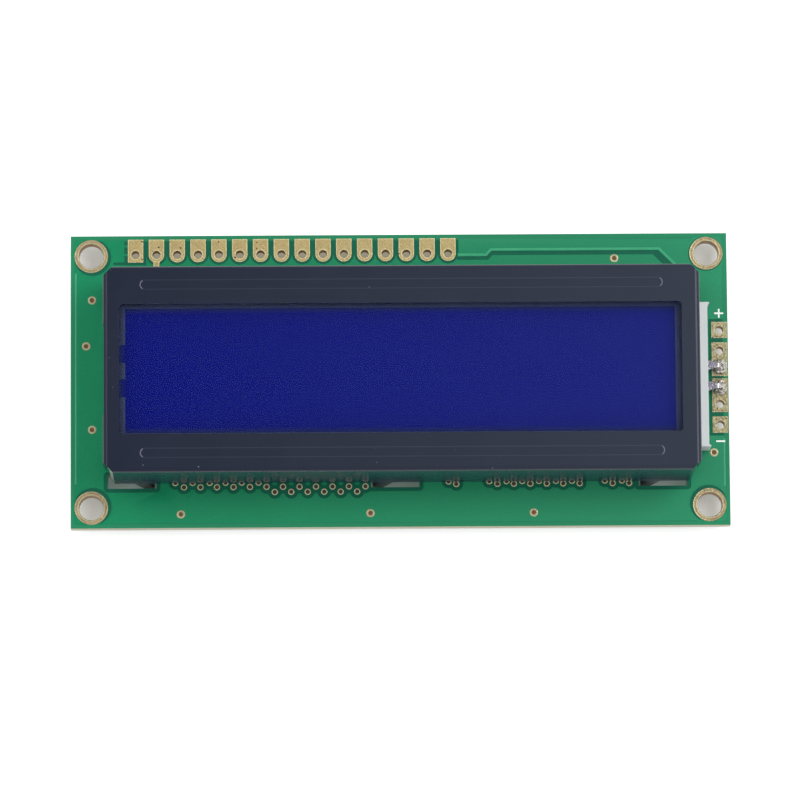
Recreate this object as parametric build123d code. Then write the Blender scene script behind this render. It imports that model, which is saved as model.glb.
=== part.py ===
from build123d import *
import os

# Two-row character display module: a printed board, a folded steel bezel, a liquid crystal cell and an
# edge-lit backlight. The origin is the centre of the four mounting holes on the board's back face. +X runs
# along the length, +Y towards the header and +Z out of the display.

# Board
board_length = 80.0
board_width = 36.0
board_thickness = 1.6
mount_edge_gap = 2.5
mount_hole_diameter = 3.0
mount_land_diameter = 4.1

# Copper: foil thickness with its mask, hole plating and the bare gaps round it
foil = 0.05
hole_plating = 0.05
pour_margin = 0.55
pour_clearance = 0.35
mount_clearance = 0.5

# Header
header_count = 16
header_pitch = 2.54
header_left_gap = 7.9
header_edge_gap = 2.35
header_hole_diameter = 1.0
header_pad_width = 1.87
header_pad_reach = 1.9

# Backlight pads, measured from their own centre line
light_pad_centre_y = 0.15
light_pad_width = 1.9
light_pad_edge_gap = 0.1
light_pad_gap = 0.28
light_pad_end = 1.0
light_hole_diameter = 1.0
light_inner_offset = 1.28
light_middle_offset = 3.3
light_outer_offset = 5.84

# Slit in the pour that runs from the header's far end to the bezel's corner
slit_width = 0.45
slit_low_gap = 2.95
slit_high_gap = 2.3
slit_rise_length = 0.6
slit_start_gap = 1.1
slit_run_length = 3.7
slit_fall_length = 3.2
slit_end_gap = 1.3

# Sides of the polygons that stand for small round outlines: buried hole walls, land ends and mounting lands
hole_sides = 8
land_sides = 12
mount_sides = 18

# Bezel: margins to the board's edges, then its folds, window and pressed ribs
bezel_left_margin = 4.2
bezel_right_margin = 3.9
bezel_side_margin = 5.45
bezel_height = 9.6
sheet = 0.4
bend_radius = 0.6
window_end_margin = 2.05
window_side_margin = 4.6
window_shift = 0.15
window_corner = 0.5
corner_cut = 1.15
groove_end_margin = 4.45
groove_side_margin = 2.3
groove_width = 1.25
groove_depth = 0.2
groove_slope = 31.0
left_notch_width = 11.0
left_notch_below_top = 0.3
end_wall_depth = 4.2

# Twist tabs of the bezel and the slots that they pass
tab_length = 3.4
tab_shift = 1.1
tab_reach = 1.2
tab_twist = 27.0
slot_length = 5.9
slot_inner_gap = 0.6
slot_outer_gap = 0.6
left_slot_gap = 3.25
middle_slot_shift = 0.8
right_slot_gap = 4.25

# Liquid crystal cell
glass_end_clearance = 0.75
glass_side_clearance = 0.7
rear_glass_step = 0.6
glass_thickness = 1.1
polariser_thickness = 0.2
polariser_end_lap = 0.4
polariser_side_lap = 0.6
rear_polariser_margin = 0.5
seal_thickness = 0.1
seal_edge_gap = 0.25
seal_end_band = 1.4
seal_side_band = 0.95
port_width = 2.2
port_post_width = 2.0
port_plug_width = 6.8
port_plug_depth = 0.45
port_plug_edge = 0.2

# Contact strips and the fingers below them
strip_thickness = 1.5
strip_end_gap = 1.8
strip_glass_edge_gap = 0.35
finger_pitch = 3.0
finger_width = 1.4
finger_length = 2.0
finger_edge = 0.6

# Backlight
frame_end_clearance = 0.25
frame_wall = 1.3
frame_floor = 0.6
frame_strip_gap = 0.2
guide_gap = 0.1
diffuser_thickness = 0.25
reflector_thickness = 0.2
tongue_height = 3.3
tongue_width = 17.8
tongue_reach = 1.25
tongue_wall = 0.7
tongue_side_wall = 1.7
tongue_roof = 0.9
tongue_lug = 0.25
led_board_thickness = 0.6
led_board_gap = 0.2
led_count = 3
led_length = 2.8
led_height = 1.2
led_depth = 0.8
led_pitch = 4.4

# Backlight leads and their solder
lead_width = 0.6
lead_root_width = 1.3
lead_thickness = 0.3
lead_height = 1.1
lead_tail = 0.5
lead_bend = 0.35
solder_diameter = 1.7
solder_top_diameter = 0.8
solder_height = 0.75

# Silk marks
mark_size = 1.1
mark_stroke = 0.2
mark_thickness = 0.03
mark_gap = 2.05

# Chips on the back
blob_diameter = 16.0
blob_shoulder_diameter = 13.6
blob_flat_diameter = 9.0
blob_shoulder_height = 1.15
blob_height = 1.7
blob_offset = 19.0
blob_clearance = 0.5
die_size = 2.6
die_thickness = 0.4
chip_length = 2.0
chip_width = 1.25
chip_height = 0.5
chip_end = 0.35
chip_land_reach = 0.4
chip_land_margin = 0.1
resistor_shares = [
    (-0.06, 0.5),
    (-0.06, 0.28),
    (-0.06, 0.06),
    (-0.06, -0.16),
    (-0.06, -0.38),
    (0.07, 0.5),
    (0.8, 0.46),
]
capacitor_shares = [(0.07, 0.16)]
chip_clearance = 0.45

# How far a cutting shape runs past what it cuts
overrun = 1.0

# Sizes and places worked out from the values above
copper_top = board_thickness + foil
half_board_length = board_length / 2
half_board_width = board_width / 2
header_first_x = header_left_gap - half_board_length
header_last_x = header_first_x + (header_count - 1) * header_pitch
header_y = half_board_width - header_edge_gap
light_pad_x = half_board_length - light_pad_edge_gap - light_pad_width / 2
bezel_length = board_length - bezel_left_margin - bezel_right_margin
bezel_width = board_width - 2 * bezel_side_margin
bezel_top = board_thickness + bezel_height
bezel_centre_x = (bezel_left_margin - bezel_right_margin) / 2
bezel_left = bezel_centre_x - bezel_length / 2
bezel_right = bezel_centre_x + bezel_length / 2
wall_middle_y = (bezel_width - sheet) / 2
window_length = bezel_length - 2 * window_end_margin
window_width = bezel_width - 2 * window_side_margin
groove_length = bezel_length - 2 * groove_end_margin
groove_offset = bezel_width / 2 - groove_side_margin
slot_width = slot_inner_gap + sheet + slot_outer_gap
slot_centres = [bezel_left + left_slot_gap, bezel_centre_x - middle_slot_shift, bezel_right - right_slot_gap]
slot_turns = [1, -1, -1]
cell_x = bezel_centre_x - window_shift
glass_length = bezel_length - 2 * (sheet + glass_end_clearance)
front_glass_width = bezel_width - 2 * (sheet + glass_side_clearance)
glass_top = bezel_top - sheet - polariser_thickness
front_glass_base = glass_top - glass_thickness
rear_glass_top = front_glass_base - seal_thickness
rear_glass_base = rear_glass_top - glass_thickness
cell_base = rear_glass_base - polariser_thickness
strip_length = glass_length - 2 * strip_end_gap
strip_y = front_glass_width / 2 - strip_glass_edge_gap - strip_thickness / 2
frame_width = 2 * (strip_y - strip_thickness / 2 - frame_strip_gap)
frame_left = bezel_left + sheet + frame_end_clearance
frame_right = bezel_right - sheet - frame_end_clearance
rear_glass_width = frame_width - 2 * rear_glass_step
seal_length = glass_length - 2 * seal_edge_gap
seal_width = rear_glass_width - 2 * seal_edge_gap
active_length = seal_length - 2 * seal_end_band
active_width = seal_width - 2 * seal_side_band
tongue_end = bezel_right + tongue_reach
tongue_top = copper_top + tongue_height
guide_left = frame_left + frame_wall
guide_right = frame_right - frame_wall
frame_floor_top = copper_top + frame_floor
guide_base = frame_floor_top + reflector_thickness
guide_top = cell_base - diffuser_thickness
led_pocket_width = tongue_width - 2 * tongue_side_wall
led_pocket_top = tongue_top - tongue_roof
led_board_x = tongue_end - tongue_wall - led_board_thickness / 2
lead_base = copper_top + lead_height


def slab(length, width, low, high, x=0.0, y=0.0):
    """A flat plate between two heights, centred at x and y."""
    align = (Align.CENTER, Align.CENTER, Align.MIN)
    return Pos(x, y, low) * Box(length, width, high - low, align=align)


def prism(sketch, low, high):
    """A sketch on the XY plane raised between two heights."""
    return extrude(Pos(0, 0, low) * sketch, high - low)


def header_places():
    return [(header_first_x + i * header_pitch, header_y) for i in range(header_count)]


def mount_places():
    x = half_board_length - mount_edge_gap
    y = half_board_width - mount_edge_gap
    return [(i * x, j * y) for i in (-1, 1) for j in (-1, 1)]


def light_hole_places():
    offsets = (light_outer_offset, light_middle_offset, light_inner_offset)
    return [(light_pad_x, light_pad_centre_y + side * offset) for side in (1, -1) for offset in offsets]


def light_pad_spans():
    """Low and high edge of each backlight pad: a square one and a long one on each side of the centre."""
    spans = []
    for side in (1, -1):
        square = (light_outer_offset - light_pad_end, light_outer_offset + light_pad_end)
        long = (light_pad_gap / 2, light_middle_offset + light_pad_end)
        for near, far in (square, long):
            ends = sorted((light_pad_centre_y + side * near, light_pad_centre_y + side * far))
            spans.append(ends)
    return spans


def slot_places():
    """Centre of each tab slot, with the side of the bezel and the end of its tab that turns outwards."""
    y = wall_middle_y + (slot_outer_gap - slot_inner_gap) / 2
    return [(x, side * y, side, turn) for side in (-1, 1) for x, turn in zip(slot_centres, slot_turns)]


def rounds(places, diameter, sides):
    """Regular polygons that just hold a circle of the diameter, one at each place."""
    shape = RegularPolygon(diameter / 2, sides, major_radius=False)
    return Sketch() + [Pos(x, y) * shape for x, y in places]


def slot_sketch(margin):
    """Punched tab slots, or the bare gap round them."""
    shape = Rectangle(slot_length + 2 * margin, slot_width + 2 * margin)
    return Sketch() + [Pos(x, y) * shape for x, y, side, turn in slot_places()]


def header_pad_sketch(margin, square=False):
    """One header land about its hole: a straight stretch to the board's edge and a round inner end."""
    width = header_pad_width + 2 * margin
    reach = header_pad_reach + margin
    if square:
        lower = Pos(0, -width / 4) * Rectangle(width, width / 2)
    else:
        lower = RegularPolygon(width / 2, land_sides)
    return Pos(0, reach / 2) * Rectangle(width, reach) + lower


def component_places():
    places = [(x, y, True) for x, y in resistor_shares] + [(x, y, False) for x, y in capacitor_shares]
    return [(x * half_board_length, y * half_board_width, resistor) for x, y, resistor in places]


def circuit_board():
    outline = Rectangle(board_length, board_width)
    outline -= rounds(mount_places(), mount_hole_diameter + 2 * hole_plating, hole_sides)
    outline -= rounds(header_places(), header_hole_diameter + 2 * hole_plating, hole_sides)
    outline -= rounds(light_hole_places(), light_hole_diameter + 2 * hole_plating, hole_sides)
    outline -= slot_sketch(0)
    return prism(outline, 0, board_thickness)


def pour_slit():
    """Bare line in the pour: a low run, a rise, a long high run and a fall to the bezel's corner."""
    start_x = header_last_x + slit_start_gap
    rise_x = start_x + slit_run_length
    fall_x = bezel_right - slit_end_gap - slit_fall_length
    low_y = half_board_width - slit_low_gap
    high_y = half_board_width - slit_high_gap
    points = [
        (start_x, low_y),
        (rise_x, low_y),
        (rise_x + slit_rise_length, high_y),
        (fall_x, high_y),
        (fall_x + slit_fall_length, high_y - slit_fall_length),
    ]
    return trace(Polyline(*points), slit_width)


def light_pad_block():
    """Bare stretch of board round the four backlight pads, out to the board's edge."""
    spans = light_pad_spans()
    low = min(ends[0] for ends in spans) - pour_clearance
    high = max(ends[1] for ends in spans) + pour_clearance
    inner = light_pad_x - light_pad_width / 2 - pour_clearance
    block = Rectangle(half_board_length - inner, high - low, align=(Align.MIN, Align.MIN))
    return Pos(inner, low) * block


def header_strip(low):
    """Bare strip along the whole header, from a height up to the board's edge."""
    length = header_last_x - header_first_x + header_pad_width + 2 * pour_clearance
    strip = Rectangle(length, half_board_width - low, align=(Align.CENTER, Align.MIN))
    return Pos((header_first_x + header_last_x) / 2, low) * strip


def pour_sketch():
    """What both copper pours share: the board's outline less the gaps round holes, slots and edge pads."""
    pour = Rectangle(board_length - 2 * pour_margin, board_width - 2 * pour_margin)
    pour -= rounds(mount_places(), mount_land_diameter + 2 * mount_clearance, mount_sides)
    return pour - slot_sketch(pour_clearance) - light_pad_block()


def front_copper_pour():
    pour = pour_sketch() - pour_slit() - header_strip(header_y + header_pad_reach)
    for i, (x, y) in enumerate(header_places()):
        pour -= Pos(x, y) * header_pad_sketch(pour_clearance, square=i == 0)
    for side in (-1, 1):
        pour -= Pos(cell_x, side * strip_y) * Rectangle(strip_length, finger_length + 2 * pour_clearance)
    return Compound(prism(pour, board_thickness, copper_top).solids())


def plated_hole(land, bores, barrels):
    """Front land, hole walls and back land in one plated piece."""
    pad = prism(land - bores, board_thickness, copper_top) + prism(land - bores, -foil, 0)
    return pad + prism(barrels - bores, -foil, copper_top)


def header_pads():
    pads = []
    for i, (x, y) in enumerate(header_places()):
        land = Pos(x, y) * header_pad_sketch(0, square=i == 0)
        bore = Pos(x, y) * Circle(header_hole_diameter / 2)
        barrel = rounds([(x, y)], header_hole_diameter + 2 * hole_plating, hole_sides)
        pads.append(plated_hole(land, bore, barrel))
    return Compound([solid for pad in pads for solid in pad.solids()])


def mounting_hole_rings():
    rings = []
    for x, y in mount_places():
        bore = Pos(x, y) * Circle(mount_hole_diameter / 2)
        land = rounds([(x, y)], mount_land_diameter, mount_sides)
        barrel = rounds([(x, y)], mount_hole_diameter + 2 * hole_plating, hole_sides)
        rings.append(plated_hole(land, bore, barrel))
    return Compound([solid for ring in rings for solid in ring.solids()])


def backlight_pads():
    pads = []
    for low, high in light_pad_spans():
        land = Pos(light_pad_x, (low + high) / 2) * Rectangle(light_pad_width, high - low)
        inside = [(x, y) for x, y in light_hole_places() if low < y < high]
        bores = Sketch() + [Pos(x, y) * Circle(light_hole_diameter / 2) for x, y in inside]
        barrels = rounds(inside, light_hole_diameter + 2 * hole_plating, hole_sides)
        pads.append(plated_hole(land, bores, barrels))
    return Compound([solid for pad in pads for solid in pad.solids()])


def contact_fingers():
    """Rows of foil fingers on which the two contact strips stand."""
    count = int((strip_length - 2 * finger_edge - finger_width) // finger_pitch) + 1
    first = cell_x - (count - 1) * finger_pitch / 2
    fingers = []
    for side in (-1, 1):
        for i in range(count):
            x = first + i * finger_pitch
            fingers.append(slab(finger_width, finger_length, board_thickness, copper_top, x, side * strip_y))
    return Compound([finger.solid() for finger in fingers])


def silk_marks():
    """A plus beside the first backlight pad and a minus beside the last, as flat strokes."""
    reach = light_outer_offset + mark_gap
    plus = Rectangle(mark_size, mark_stroke) + Rectangle(mark_stroke, mark_size)
    minus = Rectangle(mark_size, mark_stroke)
    upper = Pos(light_pad_x, light_pad_centre_y + reach) * plus
    lower = Pos(light_pad_x, light_pad_centre_y - reach) * minus
    top = copper_top + mark_thickness
    return Compound([prism(upper, copper_top, top).solid(), prism(lower, copper_top, top).solid()])


def folded_section(width, depth):
    """Section of the folded sheet: a flat top with a rounded bend down to a wall of a depth at each side."""
    outer = Pos(0, bezel_top - depth / 2) * Rectangle(width, depth)
    outer = fillet(outer.vertices().group_by(Axis.Y)[-1], bend_radius)
    inner = Pos(0, bezel_top - (depth + sheet) / 2) * Rectangle(width - 2 * sheet, depth - sheet)
    inner = fillet(inner.vertices().group_by(Axis.Y)[-1], bend_radius - sheet)
    return outer - inner


def pressed_rib(y, face):
    """Long trough with sloping sides and round ends, from a face of the sheet down by the rib's depth."""
    reach = (groove_length - groove_width) / 2
    shape = Rectangle(2 * reach, groove_width) + rounds([(-reach, 0), (reach, 0)], groove_width, land_sides)
    return extrude(Pos(bezel_centre_x, y, face) * shape, -groove_depth, taper=groove_slope)


def twist_tab(x, side, turn):
    """Tab below a long wall: one end turns evenly outwards, to its full twist behind the board."""
    tab_x = x + turn * tab_shift
    wall_y = side * wall_middle_y
    root = Pos(tab_x, wall_y, copper_top) * Rectangle(tab_length, sheet)
    tip = Pos(tab_x, wall_y, -tab_reach) * Rot(0, 0, side * turn * tab_twist) * Rectangle(tab_length, sheet)
    return loft([tip.face(), root.face()], ruled=True)


def corner_sketch():
    """What the blank of the bezel loses: a triangle at each corner, cut at 45 degrees."""
    half_length = bezel_length / 2
    half_width = bezel_width / 2
    corner = make_face(
        Polyline(
            (half_length + overrun, half_width + overrun),
            (half_length - corner_cut - overrun, half_width + overrun),
            (half_length + overrun, half_width - corner_cut - overrun),
            close=True,
        )
    )
    pair = Sketch() + [corner, mirror(corner, Plane.YZ)]
    return Pos(bezel_centre_x, 0) * (pair + mirror(pair, Plane.XZ))


def bezel():
    flat_length = bezel_length - 2 * bend_radius
    flat_width = bezel_width - 2 * bend_radius
    long_section = folded_section(bezel_width, bezel_top - copper_top)
    end_section = folded_section(bezel_length, end_wall_depth)
    long_part = extrude(Plane.YZ * long_section, flat_length / 2, both=True)
    end_part = extrude(Plane.XZ * end_section, flat_width / 2, both=True)
    shell = Pos(bezel_centre_x, 0, 0) * (long_part + end_part)
    window = RectangleRounded(window_length, window_width, window_corner)
    shell -= prism(Pos(cell_x, 0) * window, bezel_top - sheet - overrun, bezel_top + overrun)
    for y in (-groove_offset, groove_offset):
        shell += pressed_rib(y, bezel_top - sheet)
        shell -= pressed_rib(y, bezel_top)
    shell -= prism(corner_sketch(), copper_top - overrun, bezel_top + overrun)
    notch_top = bezel_top - left_notch_below_top
    shell -= slab(2 * bend_radius, left_notch_width, copper_top, notch_top, bezel_left)
    for x, y, side, turn in slot_places():
        shell += twist_tab(x, side, turn)
    return shell


def front_polariser():
    length = window_length + 2 * polariser_end_lap
    width = window_width + 2 * polariser_side_lap
    return slab(length, width, glass_top, bezel_top - sheet, cell_x)


def front_glass():
    return slab(glass_length, front_glass_width, front_glass_base, glass_top, cell_x)


def port_gaps():
    """The two openings of the filling port, one on each side of its post, through the seal's left side."""
    offset = (port_post_width + port_width) / 2
    gap = Rectangle(2 * (seal_edge_gap + seal_end_band), port_width)
    return Sketch() + [Pos(cell_x - glass_length / 2, side * offset) * gap for side in (-1, 1)]


def cell_seal():
    """Printed ring between the two glasses, and the post between the two openings of its filling port."""
    ring = Rectangle(seal_length, seal_width) - Rectangle(active_length, active_width)
    ring = Pos(cell_x, 0) * ring - port_gaps()
    return Compound(prism(ring, rear_glass_top, front_glass_base).solids())


def liquid_crystal():
    """The filling, which reaches out through the port to the seal's edge."""
    port = port_gaps() & Pos(cell_x, 0) * Rectangle(seal_length, seal_width)
    fill = Pos(cell_x, 0) * Rectangle(active_length, active_width) + port
    return prism(fill, rear_glass_top, front_glass_base)


def port_plug():
    """Bead of hard resin on the glass's left edge that closes the filling port."""
    low = rear_glass_base + port_plug_edge
    high = glass_top - port_plug_edge
    edge = cell_x - glass_length / 2
    bead = make_face(
        Polyline(
            (edge, low),
            (edge - port_plug_depth, low + port_plug_depth),
            (edge - port_plug_depth, high - port_plug_depth),
            (edge, high),
            close=True,
        )
    )
    bead = extrude(Plane.XZ * bead, port_plug_width / 2, both=True)
    outer = bead.edges().filter_by(Axis.Z).group_by(Axis.X)[0]
    return chamfer(outer, port_plug_depth / 2)


def rear_glass():
    return slab(glass_length, rear_glass_width, rear_glass_base, rear_glass_top, cell_x)


def rear_polariser():
    length = glass_length - 2 * rear_polariser_margin
    width = rear_glass_width - 2 * rear_polariser_margin
    return slab(length, width, cell_base, rear_glass_base, cell_x)


def contact_strip(side):
    return slab(strip_length, strip_thickness, copper_top, front_glass_base, cell_x, side * strip_y)


def frame_cavity():
    length = guide_right - guide_left
    width = frame_width - 2 * frame_wall
    return slab(length, width, frame_floor_top, cell_base + overrun, (guide_left + guide_right) / 2)


def led_pocket():
    low = guide_right - overrun
    high = tongue_end - tongue_wall
    return slab(high - low, led_pocket_width, frame_floor_top, led_pocket_top, (low + high) / 2)


def lead_centres():
    return [light_pad_centre_y + side * light_inner_offset for side in (1, -1)]


def backlight_frame():
    """White moulded tray that carries the cell; its low tongue reaches out below the bezel's right wall."""
    body = slab(frame_right - frame_left, frame_width, copper_top, cell_base, (frame_left + frame_right) / 2)
    low = frame_right - frame_wall
    tongue = slab(tongue_end - low, tongue_width, copper_top, tongue_top, (low + tongue_end) / 2)
    frame = body + tongue
    for side in (-1, 1):
        y = side * (tongue_width - tongue_lug) / 2
        frame += slab(tongue_lug, tongue_lug, copper_top, tongue_top, tongue_end + tongue_lug / 2, y)
    frame -= frame_cavity()
    frame -= led_pocket()
    high = lead_base + lead_thickness
    for y in lead_centres():
        frame -= slab(2 * tongue_wall, lead_root_width, lead_base, high, tongue_end, y)
    return frame


def tray_sheet(low, high):
    """A flat piece that fills the tray's plan but for a small gap all round."""
    length = guide_right - guide_left - 2 * guide_gap
    width = frame_width - 2 * frame_wall - 2 * guide_gap
    return slab(length, width, low, high, (guide_left + guide_right) / 2)


def led_board():
    width = led_pocket_width - 2 * led_board_gap
    return slab(led_board_thickness, width, frame_floor_top, led_pocket_top, led_board_x)


def backlight_leds():
    x = led_board_x - led_board_thickness / 2 - led_depth / 2
    low = (frame_floor_top + led_pocket_top - led_height) / 2
    offsets = [(i - (led_count - 1) / 2) * led_pitch for i in range(led_count)]
    return Compound([slab(led_depth, led_length, low, low + led_height, x, y).solid() for y in offsets])


def backlight_leads():
    """Flat leads that leave the tongue broad, taper, and turn down into the two inner holes."""
    leads = []
    start = led_board_x + led_board_thickness / 2
    neck = light_pad_x - lead_bend - lead_thickness / 2
    middle_z = lead_base + lead_thickness / 2
    for y in lead_centres():
        plan = Polyline(
            (start, y - lead_root_width / 2),
            (tongue_end, y - lead_root_width / 2),
            (neck, y - lead_width / 2),
            (neck, y + lead_width / 2),
            (tongue_end, y + lead_root_width / 2),
            (start, y + lead_root_width / 2),
            close=True,
        )
        root = prism(make_face(plan), lead_base, lead_base + lead_thickness)
        line = FilletPolyline(
            (neck, middle_z), (light_pad_x, middle_z), (light_pad_x, -lead_tail), radius=lead_bend
        )
        profile = Plane.XZ * trace(line, lead_thickness)
        tail = Pos(0, y, 0) * extrude(profile, lead_width / 2, both=True)
        leads.append(root + tail)
    return Compound([solid for lead in leads for solid in lead.solids()])


def solder_joints(leads):
    """A low peak of solder on each lead's land, with the plug that fills the hole round the lead."""
    joints = []
    foot = RegularPolygon(solder_diameter / 2, land_sides)
    tip = RegularPolygon(solder_top_diameter / 2, land_sides)
    core = RegularPolygon(light_hole_diameter / 2, land_sides)
    for y in lead_centres():
        low = Pos(light_pad_x, y, copper_top) * foot
        high = Pos(light_pad_x, y, copper_top + solder_height) * tip
        peak = loft([low.face(), high.face()], ruled=True)
        joints.append(peak + prism(Pos(light_pad_x, y) * core, -foil, copper_top) - leads)
    return Compound([solid for joint in joints for solid in joint.solids()])


def epoxy_blob(x, die):
    """Black potting over a chip: a low dome with a flat top, on the board's back face."""
    outline = Polyline(
        (0, 0),
        (blob_diameter / 2, 0),
        (blob_shoulder_diameter / 2, -blob_shoulder_height),
        (blob_flat_diameter / 2, -blob_height),
        (0, -blob_height),
        close=True,
    )
    return Pos(x, 0, 0) * revolve(Plane.XZ * make_face(outline), Axis.Z) - die


def chip_die(x):
    return slab(die_size, die_size, -die_thickness, 0, x)


def chip_body(x, y):
    return slab(chip_length - 2 * chip_end, chip_width, -foil - chip_height, -foil, x, y)


def chip_ends(x, y):
    ends = []
    for side in (-1, 1):
        cap_x = x + side * (chip_length - chip_end) / 2
        cap = slab(chip_end, chip_width, -foil - chip_height, -foil, cap_x, y)
        land_length = chip_end + chip_land_reach
        land_x = x + side * (chip_length / 2 - chip_end + land_length / 2)
        land = slab(land_length, chip_width + 2 * chip_land_margin, -foil, 0, land_x, y)
        ends.append((cap + land).solid())
    return ends


def chip_resistors():
    return Compound([chip_body(x, y).solid() for x, y, resistor in component_places() if resistor])


def chip_capacitors():
    return Compound([chip_body(x, y).solid() for x, y, resistor in component_places() if not resistor])


def chip_terminals():
    return Compound([end for x, y, resistor in component_places() for end in chip_ends(x, y)])


def back_copper_pour():
    pour = pour_sketch() - header_strip(header_y - header_pad_width / 2 - pour_clearance)
    blobs = [(-blob_offset, 0), (blob_offset, 0)]
    pour -= rounds(blobs, blob_diameter + 2 * blob_clearance, mount_sides)
    length = chip_length + 2 * (chip_land_reach + chip_clearance)
    width = chip_width + 2 * (chip_land_margin + chip_clearance)
    for x, y, resistor in component_places():
        pour -= Pos(x, y) * Rectangle(length, width)
    return Compound(prism(pour, -foil, 0).solids())


def build_parts():
    leads = backlight_leads()
    controller_die = chip_die(-blob_offset)
    driver_die = chip_die(blob_offset)
    return {
        "circuit_board": circuit_board(),
        "front_copper_pour": front_copper_pour(),
        "back_copper_pour": back_copper_pour(),
        "header_pads": header_pads(),
        "mounting_hole_rings": mounting_hole_rings(),
        "backlight_pads": backlight_pads(),
        "contact_fingers": contact_fingers(),
        "silk_marks": silk_marks(),
        "bezel": bezel(),
        "front_polariser": front_polariser(),
        "front_glass": front_glass(),
        "cell_seal": cell_seal(),
        "liquid_crystal": liquid_crystal(),
        "port_plug": port_plug(),
        "rear_glass": rear_glass(),
        "rear_polariser": rear_polariser(),
        "upper_contact_strip": contact_strip(1),
        "lower_contact_strip": contact_strip(-1),
        "backlight_frame": backlight_frame(),
        "reflector_sheet": tray_sheet(frame_floor_top, guide_base),
        "light_guide": tray_sheet(guide_base, guide_top),
        "diffuser_sheet": tray_sheet(guide_top, cell_base),
        "led_board": led_board(),
        "backlight_leds": backlight_leds(),
        "backlight_leads": leads,
        "solder_joints": solder_joints(leads),
        "controller_blob": epoxy_blob(-blob_offset, controller_die),
        "driver_blob": epoxy_blob(blob_offset, driver_die),
        "chip_dies": Compound([controller_die.solid(), driver_die.solid()]),
        "chip_resistors": chip_resistors(),
        "chip_capacitors": chip_capacitors(),
        "chip_terminals": chip_terminals(),
    }


os.makedirs("parts", exist_ok=True)
for name, shape in build_parts().items():
    export_step(shape, f"parts/{name}.step")
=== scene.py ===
"""Character display module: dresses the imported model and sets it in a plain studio.

Every piece is modelled in millimetres and set down in metres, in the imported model's own frame: the origin is
the centre of the mounting holes on the board's back face, +X runs along the board, +Y towards the header and
+Z out of the display. Lengths are millimetres and angles degrees where nothing else is said.
"""

import logging
import math
from collections.abc import Callable, Iterable, Mapping, Sequence
from dataclasses import dataclass, field
from enum import Enum

import bmesh
import bpy
from mathutils import Matrix, Vector, noise

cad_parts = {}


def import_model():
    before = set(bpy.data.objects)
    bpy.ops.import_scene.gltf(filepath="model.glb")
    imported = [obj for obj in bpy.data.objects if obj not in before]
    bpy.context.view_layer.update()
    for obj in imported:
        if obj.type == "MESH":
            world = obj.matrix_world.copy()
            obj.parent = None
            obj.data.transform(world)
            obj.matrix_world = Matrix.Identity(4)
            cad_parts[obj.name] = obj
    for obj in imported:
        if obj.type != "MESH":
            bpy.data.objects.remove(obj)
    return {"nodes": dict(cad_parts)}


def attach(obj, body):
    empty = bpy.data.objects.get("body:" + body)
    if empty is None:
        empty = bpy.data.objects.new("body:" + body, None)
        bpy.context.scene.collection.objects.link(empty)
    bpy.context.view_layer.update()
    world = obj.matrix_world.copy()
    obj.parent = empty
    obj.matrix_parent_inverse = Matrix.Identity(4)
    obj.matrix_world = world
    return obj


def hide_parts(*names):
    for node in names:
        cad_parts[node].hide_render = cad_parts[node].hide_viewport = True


log = logging.getLogger("display_module")

BODY = "root"
MM = 0.001
# Corners nearer than this are one, and faces that turn by less than this are one.
WELD = 0.0005
FLAT_ANGLE = 0.5
# A face looks sideways when its normal's upward part is smaller than this.
SIDE_TURN = 0.5
NORMAL_WEIGHT = 90
# The curve between a colour as the eye reads it and linear light.
EYE_KNEE = 0.04045
EYE_SLOPE = 12.92
EYE_LIFT = 0.055
EYE_POWER = 2.4
# The sockets of a mix node that carry colours.
MIX_MASK, MIX_LOW, MIX_HIGH, MIX_RESULT = 0, 6, 7, 2

Piece = bpy.types.Object
FaceTest = Callable[[bpy.types.MeshPolygon], bool]
Socket = bpy.types.NodeSocket
Sockets = Mapping[str, bpy.types.NodeSocket]
Point = tuple[float, float, float]
Box = tuple[float, float, float, float]
Spot = tuple[float, float]
Colour = tuple[int, int, int]

NODES: dict[str, Piece] = {}


class Face(Enum):
    """The two faces of the board."""

    FRONT = 1
    BACK = -1


class PadEnd(Enum):
    """How the inner end of a pad is cut."""

    ROUND = "round"
    SQUARE = "square"


def clear() -> None:
    """Leaves edit mode and lets go of every object."""
    if bpy.context.object and bpy.context.object.mode != "OBJECT":
        bpy.ops.object.mode_set(mode="OBJECT")
    bpy.ops.object.select_all(action="DESELECT")


def hold(piece: Piece) -> None:
    """Makes a piece the only one held."""
    clear()
    piece.select_set(True)
    bpy.context.view_layer.objects.active = piece


def placed(name: str, data: bpy.types.ID) -> Piece:
    """Puts a mesh, curve, camera or light into the scene as an object."""
    piece = bpy.data.objects.new(name, data)
    bpy.context.scene.collection.objects.link(piece)
    return piece


def fix(piece: Piece, name: str) -> Piece:
    """Names a new piece and moves its place into its mesh."""
    piece.name = name
    piece.data.name = name
    hold(piece)
    bpy.ops.object.transform_apply(location=True, rotation=True, scale=True)
    return piece


def slab(name: str, centre: Point, size: Point) -> Piece:
    """Adds a block.

    Args:
        name: Name of the piece.
        centre: Its middle.
        size: Its length along each axis.

    Returns:
        The block.
    """
    clear()
    bpy.ops.mesh.primitive_cube_add(size=1, location=centre, scale=size)
    return fix(bpy.context.object, name)


def bar(name: str, box: Box, middle: float, height: float) -> Piece:
    """Adds a block between four edges.

    Args:
        name: Name of the piece.
        box: Its left, right, lower and upper edge.
        middle: The height of its middle.
        height: How thick it is.

    Returns:
        The block.
    """
    left, right, low, high = box
    return slab(name, ((left + right) / 2, (low + high) / 2, middle), (right - left, high - low, height))


def rod(name: str, centre: Point, radius: float, depth: float, sides: int = 32) -> Piece:
    """Adds a cylinder along the Z axis.

    Args:
        name: Name of the piece.
        centre: Its middle.
        radius: Its radius.
        depth: Its height.
        sides: Number of faces round it.

    Returns:
        The cylinder.
    """
    clear()
    bpy.ops.mesh.primitive_cylinder_add(vertices=sides, radius=radius, depth=depth, location=centre)
    return fix(bpy.context.object, name)


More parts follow.
